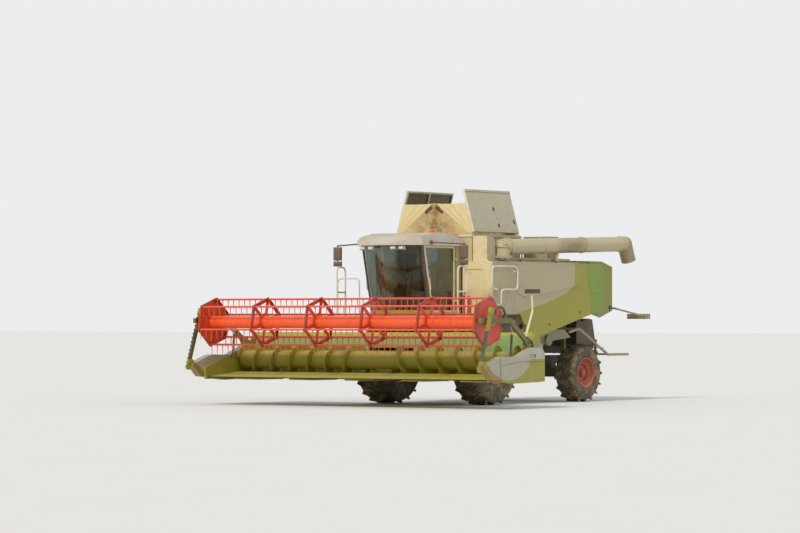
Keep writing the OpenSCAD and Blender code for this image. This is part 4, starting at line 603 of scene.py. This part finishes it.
def rounded(points, radius):
    """A bent line of straight stretches with its corners rounded off."""
    p = [Vector(q) for q in points]
    out = [p[0]]
    for before, here, after in zip(p, p[1:], p[2:]):
        cut = min(radius, (before - here).length * 0.48, (after - here).length * 0.48)
        a, b = here + (before - here).normalized() * cut, here + (after - here).normalized() * cut
        for k in range(7):
            t = k / 6
            out.append(a.lerp(here, t).lerp(here.lerp(b, t), t))
    return out + [p[-1]]


def sweep(parts, path, radius, sides=8):
    """A tube with closed ends along a dense path, added to parts."""
    rings, side = [], None
    for i, here in enumerate(path):
        way = (path[min(i + 1, len(path) - 1)] - path[max(i - 1, 0)]).normalized()
        side = frame_of(way)[0] if side is None else (side - way * side.dot(way)).normalized()
        other = way.cross(side)
        turns = [2 * math.pi * k / sides for k in range(sides)]
        rings.append([here + (side * math.cos(t) + other * math.sin(t)) * radius for t in turns])
    parts.rings(rings)


def curve_through(points, step=0.05):
    """Points along a smooth curve through the given ones."""
    p = [Vector(points[0]) * 2 - Vector(points[1])] + [Vector(q) for q in points]
    p.append(p[-1] * 2 - p[-2])
    out = []
    for i in range(1, len(p) - 2):
        count = max(2, math.ceil((p[i + 1] - p[i]).length / step))
        for k in range(count):
            t = k / count
            out.append(0.5 * (2 * p[i] + (p[i + 1] - p[i - 1]) * t
                       + (2 * p[i - 1] - 5 * p[i] + 4 * p[i + 1] - p[i + 2]) * t ** 2
                       + (3 * p[i] - p[i - 1] - 3 * p[i + 1] + p[i + 2]) * t ** 3))
    out.append(p[-2])
    return out


def add_tube(parts, points, radius, sides=8, step=0.05):
    """A bent tube with closed ends, added to parts."""
    sweep(parts, curve_through(points, step), radius, sides)


def shell(front, back, rows, cols):
    """Points and faces of a closed sheet between two grids of rows by cols cells."""
    n, half, faces = cols + 1, len(front), []
    for i in range(rows):
        for k in range(cols):
            a = i * n + k
            faces.append((a, a + 1, a + n + 1, a + n))
            faces.append((half + a, half + a + n, half + a + n + 1, half + a + 1))
    border = list(range(n)) + [i * n + cols for i in range(1, rows + 1)]
    border += [rows * n + k for k in reversed(range(cols))] + [i * n for i in reversed(range(1, rows))]
    for a, b in zip(border, border[1:] + border[:1]):
        faces.append((a, half + a, half + b, b))
    return front + back, faces


# Details

def wheel_details():
    """Wheel bolts on a circle, a hub cap and a valve on each wheel."""
    for axle, y, z, disc_x, bore, rim_r, count in (
            ("front", 0, 0.895, 1.356, 0.191, 0.43, 12), ("rear", 3.75, 0.655, 1.326, 0.121, 0.325, 8)):
        for side, sx in (("left", 1), ("right", -1)):
            body = "%s_wheel_%s" % (axle, side)
            face, out = sx * (disc_x + STAND_OFF), Vector((sx, 0, 0))
            bolts = Parts()
            for i in range(count):
                a = 2 * math.pi * i / count
                r = bore / 2 + 0.085
                bolts.bolt(at(face, y + r * math.cos(a), z + r * math.sin(a)), out, 0.019)
            bolts.build("wheel_bolts_%s_%s" % (axle, side), STEEL_WORN, body, "worn_steel")
            cap = Parts()
            r = bore / 2 + 0.045
            cap.turned(at(face, y, z), out, [
                (0, r), (0.014, r), (0.018, r - 0.006), (0.07, r - 0.02), (0.084, r - 0.034),
                (0.088, 0.02)], 32)
            cap.build("hub_cap_%s_%s" % (axle, side), RIM_PAINT, body, "rim_red", True)
            valve = Parts()
            foot = at(sx * (disc_x + 0.03), y, z + rim_r - 0.062)
            valve.turned(foot, out - Vector((0, 0, 0.35)), [(0, 0.011), (0.012, 0.011), (0.014, 0.006),
                         (0.05, 0.006), (0.052, 0.009), (0.066, 0.009), (0.07, 0.006)], 10)
            valve.build("valve_%s_%s" % (axle, side), HOSE, body, "black_plastic", True)


def lamp_glass(name):
    """A lens: ribbed clear cover over a bright reflector, drawn as one shaded surface, its pale tone a
    painted reflection and its rib stripes painted highlights.
    """
    net = Net(name)
    ribs = net.stripes("X", 0.012)
    net.bump(ribs, 0.4, 0.003)
    # Pale grey for the reflector seen through the cover is a painted reflection; its lighter rib stripes are
    # painted highlights
    body, _ = dusted(net, net.mix(ribs, srgb(196, 200, 200), srgb(236, 238, 236)), 0.3)
    return net.finish(body, 0.12, 0.35, Coat_Weight=1.0)


def tinted_lens(name, colour):
    """A moulded plastic lens in one colour, with fine ribs and painted shade in darker stripes along them."""
    net = Net(name)
    ribs = net.stripes("Z", 0.008)
    net.bump(ribs, 0.5, 0.002)
    # The ribs' darker stripes, 55 percent of the colour, are painted shade
    dark = tuple(c * 0.55 for c in colour[:3]) + (1,)
    body, _ = dusted(net, net.mix(ribs, dark, colour), 0.3)
    return net.finish(body, 0.2, Coat_Weight=0.8)


LAMP = lamp_glass("lamp_glass")
AMBER = tinted_lens("amber_lens", srgb(238, 120, 22))
RED_LENS = tinted_lens("red_lens", srgb(190, 24, 20))
MIRROR = worn_metal("mirror_glass", srgb(216, 220, 222), 0.04, 0.0, 0.25, 1.0)


def cab_details():
    """Roof lamps, beacon, and the glass and backs of the mirrors."""
    lenses, rims = Parts(), Parts()
    for x in (-0.52, -0.3, 0.3, 0.52):
        face = at(x, -1.9902, 3.388)
        rims.plate(face, (0, -1, 0), (0, 0, 1), 0.134, 0.07, 0.006, 0.014)
        lenses.plate(face - Vector((0, 0.0062, 0)), (0, -1, 0), (0, 0, 1), 0.118, 0.056, 0.008, 0.01, 0.003,
                     0.006)
    rims.build("roof_lamp_rims", PLASTIC, "root", "black_plastic")
    lenses.build("roof_lamp_lenses", LAMP, "root", "cab_glass", True)
    beacon, beacon_x, beacon_y = Parts(), 0.76, -1.19
    beacon.turned(at(beacon_x, beacon_y, 3.7185), (0, 0, 1), [
        (0, 0.0556), (0.004, 0.058), (0.06, 0.0575), (0.1, 0.0565), (0.1105, 0.057)], 32)
    beacon.build("beacon_lens", AMBER, "root", "tine_orange", True)
    cap = Parts()
    cap.turned(at(beacon_x, beacon_y, 3.829), (0, 0, 1), [
        (0, 0.0568), (0.006, 0.0568), (0.016, 0.05), (0.021, 0.03)], 32)
    cap.turned(at(beacon_x, beacon_y, 3.712), (0, 0, 1), [
        (0, 0.04), (0.0, 0.0588), (0.0068, 0.0588), (0.0068, 0.04)], 32)
    cap.build("beacon_cap", PLASTIC, "root", "black_plastic", True)
    # Each mirror has a tall head above a low one
    panes, housings, mirror_x = Parts(), Parts(), 1.7
    for sx in (-1, 1):
        for low, high in ((3.15, 3.44), (3.02, 3.13)):
            middle = (low + high) / 2
            panes.plate(at(sx * mirror_x, -1.3198, middle), (0, 1, 0), (0, 0, 1),
                        0.172, high - low - 0.028, 0.005, 0.014, 0.002)
            housings.plate(at(sx * mirror_x, -1.3602, middle), (0, -1, 0), (0, 0, 1),
                           0.196, high - low - 0.004, 0.004, 0.03, 0.003, 0.018)
    panes.build("mirror_panes", MIRROR, "root", "cab_glass")
    housings.build("mirror_backs", MIRROR_PLASTIC, "root", "black_plastic", True)


def corner_cloth():
    """Coated cloth between each gusset and lid, taut at its edges, with folds from the lower corner."""
    low_z, high_z, thick = 3.736, 4.4, 0.003
    rows, cols = 26, 22

    def edge(z):
        """X of the cloth's inner edge at height z, 0.6 mm from the gusset's slanted edge."""
        return 0.9606 - (z - 3.71) * 0.92 / 0.7

    def lid(z):
        """X of the cloth's outer edge at height z, 12 mm inside the open lid's middle plane."""
        return 1.018 - (z - LID_HINGE[1]) * LID_IN / LID_UP

    for end, y, out in (("front", -0.068, -1), ("rear", 1.718, 1)):
        for side, sx in (("left", 1), ("right", -1)):
            front, back = [], []
            for i in range(rows + 1):
                v = i / rows
                z = low_z + (high_z - low_z) * v
                for k in range(cols + 1):
                    u = k / cols
                    x = edge(z) + (lid(z) - edge(z)) * u
                    held = 4 * u * (1 - u) * math.sin(math.pi * min(1, 0.15 + v * 0.85) / 2)
                    fold = 0.5 * math.sin(u * 19 + v * 3) + 0.3 * math.sin(u * 33 - v * 7 + sx)
                    bow = held * (0.012 * fold + 0.014)
                    sag = 0.012 * held * v ** 6
                    front.append(at(sx * x, y + out * (thick / 2 + bow), z - sag))
                    back.append(at(sx * x, y + out * (bow - thick / 2), z - sag))
            verts, faces = shell(front, back, rows, cols)
            cloth = piece("corner_cloth_%s_%s" % (end, side), verts, faces, TARP, "root", True)
            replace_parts(cloth, "gusset_corners")
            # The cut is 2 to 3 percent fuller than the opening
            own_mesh(cloth)


def railings():
    """Round-cornered handrails with foot plates, in place of the CAD's bars."""
    loops, foot = [], PLATFORM_TOP
    for sx in (-1, 1):
        wall, far = sx * RAIL_WALL_X, sx * 1.7
        # Each is a line of points and the radius of its bends: the platform's front loop and its rung
        x, ahead, behind = sx * 1.63, -1.455, -1.15
        loops.append(([(x, ahead, foot), (x, ahead, 3.0), (x, behind, 3.0), (x, behind, foot)], 0.13))
        loops.append(([(x, ahead, 2.45), (x, behind, 2.45)], 0.01))
        # The D-shaped rail on the wall, with a stay
        loops.append(([(wall, -0.06, 2.51), (far, -0.06, 2.51), (far, -0.28, 2.51), (far, -0.28, 3.01),
                       (far, 0.69, 3.01), (far, 0.69, 2.51), (far, 0.06, 2.51), (far, 0.06, 2.17),
                       (wall, 0.06, 2.17)], 0.12))
        loops.append(([(wall, 0.69, 2.9), (sx * 1.69, 0.69, 2.9)], 0.01))
    # The right platform's front rail
    y = -1.47
    loops.append(([(-1.0, y, foot), (-1.0, y, 2.75), (-1.6, y, 2.75), (-1.6, y, foot)], 0.12))
    rails, feet = Parts(), Parts()
    for points, bend in loops:
        sweep(rails, rounded([at(*q) for q in points], bend), 0.017, 12)
        for here, there in ((points[0], points[1]), (points[-1], points[-2])):
            way = Vector(there) - Vector(here)
            if abs(here[2] - foot) < 0.001 or abs(abs(here[0]) - RAIL_WALL_X) < 0.001:
                feet.turned(at(*here) + way.normalized() * STAND_OFF, way, [
                    (0, 0.036), (0.006, 0.036), (0.008, 0.034), (0.008, 0.02), (0.02, 0.018)], 20)
    for parts, name in ((rails, "handrail_tubes"), (feet, "handrail_feet")):
        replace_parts(parts.build(name, WHITE_PAINT, "root", "cream_paint", True), "handrails")


def hoses():
    """Hydraulic hoses: over the header's hinge, along each reel arm and on to its sliding carriage."""
    nut = [(0, 0.016), (0.014, 0.016), (0.016, 0.013), (0.03, 0.013), (0.032, 0.0145), (0.052, 0.0145),
           (0.054, 0.0125)]
    for side, sx in (("left", 1), ("right", -1)):
        sliding, fixed = Parts(), Parts()
        for i, x in enumerate((3.784, 3.816)):
            name, lift = "%s_%d" % (side, i + 1), 0.018 * i
            # Up out of the carriage, over in a loop and down on the arm
            add_cord("reel_hose_" + name, [at(sx * x, *q) for q in (
                (-3.19, 1.93), (-3.188, 1.99 + lift), (-3.13, 2.062 + lift), (-3.02, 2.098 + lift),
                (-2.9, 2.068 + lift), (-2.825, 1.99), (-2.81, 1.93))],
                ("reel_arms", "reel_carriages", at(sx * x, -2.83, 1.95), at(sx * x, -3.17, 1.95)))
            sliding.turned(at(sx * x, -3.19, 1.9), (0, 0, 1), nut, 6)
            fixed.turned(at(sx * x, -2.81, 1.886), (0, 0, 1), nut, 6)
            # Along the arm's upper edge, clipped down, to the hinge
            add_cord("arm_hose_" + name, [at(sx * x, *q) for q in (
                (-2.78, 1.9), (-2.7, 1.9), (-2.64, 1.882), (-2.56, 1.832), (-2.44, 1.746), (-2.3, 1.645),
                (-2.16, 1.545), (-2.09, 1.5), (-2.03, 1.475))], "reel_arms")
            # A loop over the hinge to the header's end wall
            add_cord("hinge_hose_" + name, [at(sx * x, *q) for q in (
                (-2.03, 1.475), (-1.97, 1.455), (-1.905, 1.425), (-1.85, 1.37), (-1.82, 1.29),
                (-1.815, 1.22), (-1.81, 1.13))],
                ("header", "reel_arms", at(sx * x, -1.84, 1.3), at(sx * x, -2.02, 1.47)))
        for y, z in ((-2.5, 1.806), (-2.24, 1.62)):
            fixed.plate(at(sx * 3.8, y, z), (0, 0.58, 0.81), (0, -0.81, 0.58), 0.075, 0.03, 0.022, 0.01)
        fixed.build("hose_clips_" + side, STEEL_WORN, "reel_arms", "dark_paint")
        sliding.build("hose_nuts_" + side, STEEL_WORN, "reel_carriages", "dark_paint")


def side_details(side, sx):
    """Shut louvre plates, latches, lid fittings, rear lamp lens and the strap beside the gusset's peak."""
    across = (sx, 0, 0)
    shut = Parts()
    shut.plate(at(sx * PANEL_X, 3.95, 2.635), across, (0, 0, 1), 0.56, 0.37, 0.004, 0.03, 0.002)
    shut.build("louvre_plate_" + side, PANEL, "side_panel_" + side, "lime_paint")
    shut = Parts()
    shut.plate(at(sx * HOOD_X, 4.71, 2.7), across, (0, 0, 1), 0.36, 0.46, 0.004, 0.03, 0.002)
    shut.build("hood_plate_" + side, HOOD_PAINT, "root", "lime_paint")
    latches = Parts()
    for y, z in ((2.09, 1.744), (1.15, 1.72), (3.3, 2.02)):
        latches.turned(at(sx * PANEL_X, y, z), across, [
            (0, 0.026), (0.004, 0.026), (0.006, 0.022), (0.003, 0.019), (0.003, 0.01), (0.009, 0.009),
            (0.01, 0.005)], 24)
    latches.build("panel_latches_" + side, PLASTIC, "side_panel_" + side, "black_plastic", True)
    # Small plates with two bolts on the lid's outer face
    fittings, out = Parts(), Vector((sx * LID_UP, 0, LID_IN))
    for y, z in ((0.91, 4.28), (0.98, 3.92), (1.6, 4.01)):
        up = (z - LID_HINGE[1]) / LID_UP
        foot = at(sx * (LID_HINGE[0] - LID_IN * up), y, z) + out * LID_FACE
        fittings.plate(foot, out, (0, 0, 1), 0.055, 0.085, 0.004, 0.012, 0.002)
        for dz in (-0.026, 0.026):
            fittings.bolt(foot + out * 0.0042 + Vector((0, 0, dz)), out, 0.011)
    fittings.build("lid_fittings_" + side, CAST, "tank_lid_" + side, "dark_paint")
    lens = Parts()
    for x in (1.085, 1.495):
        lens.plate(at(sx * x, LAMP_Y, 1.93), (0, 1, 0), (0, 0, 1), 0.1, 0.07, 0.01, 0.012, 0.004, 0.004)
    lens.build("rear_lamp_lenses_" + side, RED_LENS, "root", "rim_red", True)
    # The strap runs down along the gusset's edge
    straps, x, z, front = Parts(), 0.145, 4.262, (0, -1, 0)
    straps.plate(at(sx * x, -0.0823, z), front, (sx * 0.8, 0, -0.6), 0.06, 0.22, 0.004, 0.012, 0.002)
    for k in (-0.09, 0.09):
        straps.bolt(at(sx * (x + 0.8 * k), -0.0864, z - 0.6 * k), front, 0.009)
    straps.build("peak_strap_" + side, BROWN_WEB, "gusset_front", "tarpaulin")


def extinguisher():
    """Head, lever and hose on top of the bottle, and two steel bands round it."""
    head, x, y = Parts(), 1.0, -0.262
    head.turned(at(x, y, 2.4252), (0, 0, 1), [(0, 0.022), (0.03, 0.022), (0.034, 0.016), (0.05, 0.014)], 16)
    head.plate(at(x, -0.3, 2.455), (0, 0.25, 1), (0, -1, 0), 0.022, 0.12, 0.006, 0.006, 0.002)
    add_tube(head, [at(x, *q) for q in (
        (-0.284, 2.44), (-0.33, 2.43), (-0.352, 2.36), (-0.35, 2.22), (-0.349, 2.12))], 0.008)
    head.build("extinguisher_head", PLASTIC, "root", "black_plastic", True)
    bands, bottle_r = Parts(), 0.0753
    for z in (2.08, 2.28):
        bands.turned(at(x, y, z), (0, 0, 1), [
            (0, bottle_r), (0.0, 0.0775), (0.022, 0.0775), (0.022, bottle_r)], 32)
    bands.build("extinguisher_bands", STEEL_WORN, "root", "worn_steel", True)


def shelf_details():
    """A pipe on feet along the shelf, and the saddle under the unloading tube."""
    conduit, x = Parts(), 1.27
    add_tube(conduit, [at(x, 0.86, 3.19), at(x, 2.1, 3.192), at(x, 3.36, 3.19)], 0.028, 12, 0.3)
    for y in (0.95, 1.75, 2.55, 3.3):
        conduit.plate(at(x, y, SHELF_TOP), (0, 0, 1), (0, 1, 0), 0.1, 0.03, 0.012, 0.008, 0.002)
    conduit.build("deck_conduit", CREAM_PAINT, "root", "cream_paint", True)
    saddle = Parts()
    for width, low, high in ((0.11, SHELF_TOP, 3.165), (0.08, 3.1648, 3.29), (0.13, 3.2898, 3.33)):
        saddle.plate(at(1.365, 2.68, low), (0, 0, 1), (0, 1, 0), width, 0.1, high - low, 0.012, 0.003)
    saddle.build("tube_saddle", CREAM_PAINT, "root", "cream_paint")


def wiper():
    """Arm and blade on the curved and leaning windshield."""
    parts, curve_r, lean = Parts(), 1.405, 0.2324

    def pane(x, z, off=0.03):
        """The point off in front of the windshield at (x, z)."""
        return at(x, -1.31 - lean * (z - 2.03) - 0.25 + curve_r - math.sqrt(curve_r ** 2 - x * x) - off, z)

    parts.turned(pane(0.3, 3.14, 0.012), (0, -1, 0), [(0, 0.022), (0.02, 0.022), (0.03, 0.012)], 16)
    add_tube(parts, [pane(0.3, 3.14), pane(0.32, 2.95, 0.035), pane(0.36, 2.75, 0.032)], 0.007)
    add_tube(parts, [pane(0.33, 3.08, 0.017), pane(0.36, 2.75, 0.018), pane(0.4, 2.42, 0.017)], 0.006)
    parts.build("wiper", PLASTIC, "root", "black_plastic", True)


def body_details():
    """What hangs on the body's panels, lids, platform, shelf and windshield."""
    side_details("left", 1)
    side_details("right", -1)
    extinguisher()
    shelf_details()
    wiper()


def add_cord(name, points, body):
    """A hose on a smooth curve through points."""
    parts, path, thick = Parts(), curve_through(points, 0.03), 0.022
    sweep(parts, path, thick / 2, 10)
    obj = parts.build(name, HOSE, body, "black_plastic", True)
    return obj


def pad(name, centre, size, up, forward, channels, crown=0.035, pinch=0.02):
    """A stuffed pad: crowned faces, sides pulled in between the corners, a thin seam and sewn channels."""
    a, b, n = frame_of(up, Vector(forward))
    w, l, t = size
    cols, rows = 36, 36
    layers = {1: [], -1: []}
    for s in (1, -1):
        for i in range(rows + 1):
            for k in range(cols + 1):
                u, v = 2 * k / cols - 1, 2 * i / rows - 1
                # A rounded square outline, drawn in at the middle of each side
                fu = u * (1 - pinch / w * 2 * (1 - v * v))
                fv = v * (1 - pinch / l * 2 * (1 - u * u))
                near = max(abs(u), abs(v))
                round_in = 1 - 0.06 * (u * u * v * v) ** 2
                rim = math.sqrt(max(0.0, 1 - near ** 6))
                seam = 0.0
                for c in channels:
                    seam += 0.012 * math.exp(-((v - c) / 0.035) ** 2) * rim
                height = (t / 2 - crown * 0.5) * rim + crown * (1 - u * u) * (1 - v * v) * 0.9
                height -= seam if s > 0 else 0
                layers[s].append(Vector(centre) + a * (fu * w / 2 * round_in) + b * (fv * l / 2 * round_in)
                                 + n * (s * max(height, 0.0005)))
    verts, faces = shell(layers[1], layers[-1], rows, cols)
    obj = piece(name, verts, faces, SEAT_CLOTH, "root", True, 60)
    return obj


def driver_seat():
    """Cushion, back and arm pads on a suspension base with a rubber bellows."""
    seat_x, up, along, arms = 0.12, (0, 0, 1), (0, 1, 0), (-0.289, 0.291)
    cushion = pad("seat_cushion", at(seat_x, -0.74, 2.388), (0.5, 0.48, 0.13), up, along, (-0.35, 0.1, 0.5))
    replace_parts(cushion, "seat")
    lean = Vector((0, 0.105, 0.64)).normalized()
    back = pad("seat_back", at(seat_x, -0.447, 2.775), (0.47, 0.63, 0.12), (0, -lean.z, lean.y), lean,
               (-0.5, -0.15, 0.2, 0.55))
    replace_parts(back, "seat")
    frame_parts = Parts()
    frame_parts.plate(at(seat_x, -0.73, 2.0305), up, along, 0.36, 0.34, 0.03, 0.03, 0.004)
    frame_parts.plate(at(seat_x, -0.74, 2.3), up, along, 0.44, 0.42, 0.03, 0.04, 0.004)
    frame_parts.plate(at(seat_x, -0.372, 2.74), (0, 1, -0.16), up, 0.4, 0.5, 0.012, 0.05, 0.003, 0.01)
    for dx in arms:
        x = seat_x + dx
        add_tube(frame_parts, [at(x, *q) for q in (
            (-0.43, 2.44), (-0.45, 2.5), (-0.5, 2.512), (-0.6, 2.515))], 0.014)
        add_tube(frame_parts, [at(x * 0.62 + 0.045, -0.44, 2.4), at(x * 0.9 + 0.012, -0.43, 2.41),
                               at(x, -0.43, 2.45)], 0.014)
    base = frame_parts.build("seat_frame", PLASTIC, "root", "black_plastic", True)
    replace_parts(base, "seat")
    # Rounded square rings, each second one wider
    bellows, rings, low_z, tall = Parts(), 16, 2.06, 0.24
    rows = []
    for i in range(rings + 1):
        z = low_z + tall * i / rings
        grow = 0.012 if i % 2 else 0.0
        ring = []
        for k in range(24):
            c, s = math.cos(2 * math.pi * k / 24), math.sin(2 * math.pi * k / 24)
            ring.append(at(seat_x + math.copysign(abs(c) ** 0.4, c) * (0.15 + grow),
                           -0.735 + math.copysign(abs(s) ** 0.4, s) * (0.14 + grow), z))
        rows.append(ring)
    bellows.rings(rows)
    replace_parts(bellows.build("seat_bellows", HOSE, "root", "black_plastic", True), "seat")
    for i, dx in enumerate(arms):
        arm = pad("arm_pad_%d" % (i + 1), at(seat_x + dx, -0.67, 2.535), (0.062, 0.36, 0.05), up, along,
                  (), 0.008, 0.004)
        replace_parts(arm, "seat")


wheel_details()
cab_details()
corner_cloth()
driver_seat()
body_details()
railings()
hoses()


# Floor, light and camera

def floor_material():
    net = Net("studio_floor")
    net.finish(net.mix(net.noise(0.7, 3), (0.74, 0.74, 0.73, 1), (0.78, 0.78, 0.77, 1)), 0.95)
    return net.mat


def studio():
    """A wide pale floor, a pale world and two soft lamps."""
    reach = 400
    mesh = bpy.data.meshes.new("floor")
    rim = [(reach * x, reach * y, 0) for x, y in ((-1, -1), (1, -1), (1, 1), (-1, 1))]
    mesh.from_pydata(rim, [], [(0, 1, 2, 3)])
    floor = bpy.data.objects.new("floor", mesh)
    floor.location.z = -0.002
    mesh.materials.append(floor_material())
    bpy.context.scene.collection.objects.link(floor)
    world = bpy.data.worlds.new("studio_world")
    bpy.context.scene.world = world
    world.use_nodes = True
    tree = world.node_tree
    back = tree.nodes["Background"]
    path = tree.nodes.new("ShaderNodeLightPath")
    # The camera, metal and glass see a brighter world than the one that lights the object
    seen = path.outputs["Is Camera Ray"]
    for kind in ("Is Glossy Ray", "Is Transmission Ray"):
        either = tree.nodes.new("ShaderNodeMath")
        either.operation = "MAXIMUM"
        tree.links.new(seen, either.inputs[0])
        tree.links.new(path.outputs[kind], either.inputs[1])
        seen = either.outputs[0]
    strength = tree.nodes.new("ShaderNodeMapRange")
    tree.links.new(seen, strength.inputs["Value"])
    strength.inputs["To Min"].default_value = 0.5
    strength.inputs["To Max"].default_value = 0.86
    tree.links.new(strength.outputs[0], back.inputs["Strength"])
    back.inputs["Color"].default_value = (0.97, 0.985, 1, 1)
    for name, power, turn, lean, soft, colour in (
            ("key_sun", 2.1, 8, 48, 9, (1, 0.95, 0.86)),
            ("fill_sun", 0.5, 100, 55, 40, (0.9, 0.95, 1))):
        lamp = bpy.data.lights.new(name, "SUN")
        lamp.energy, lamp.angle, lamp.color = power, math.radians(soft), colour
        obj = bpy.data.objects.new(name, lamp)
        obj.rotation_euler = (math.radians(lean), 0, math.radians(turn))
        bpy.context.scene.collection.objects.link(obj)


def camera():
    """The photograph's long lens, off to the machine's left at eye height."""
    turn, away, eye = math.radians(36), 72.0, 1.8
    focal_px, axis_px, frame_px = 3277.0, (436.1, 322.0), (800, 533)
    lens = bpy.data.cameras.new("camera")
    lens.sensor_width = 36
    lens.lens = lens.sensor_width * focal_px / frame_px[0]
    lens.clip_end = 1000
    obj = bpy.data.objects.new("camera", lens)
    obj.location = at(away * math.sin(turn), -away * math.cos(turn), eye)
    left = math.atan((axis_px[0] - frame_px[0] / 2) / focal_px)
    up = math.atan((axis_px[1] - frame_px[1] / 2) / focal_px)
    obj.rotation_euler = (math.pi / 2 + up, 0, turn + left)
    bpy.context.scene.collection.objects.link(obj)
    bpy.context.scene.camera = obj


studio()
camera()
bpy.context.scene.view_settings.view_transform = "Standard"
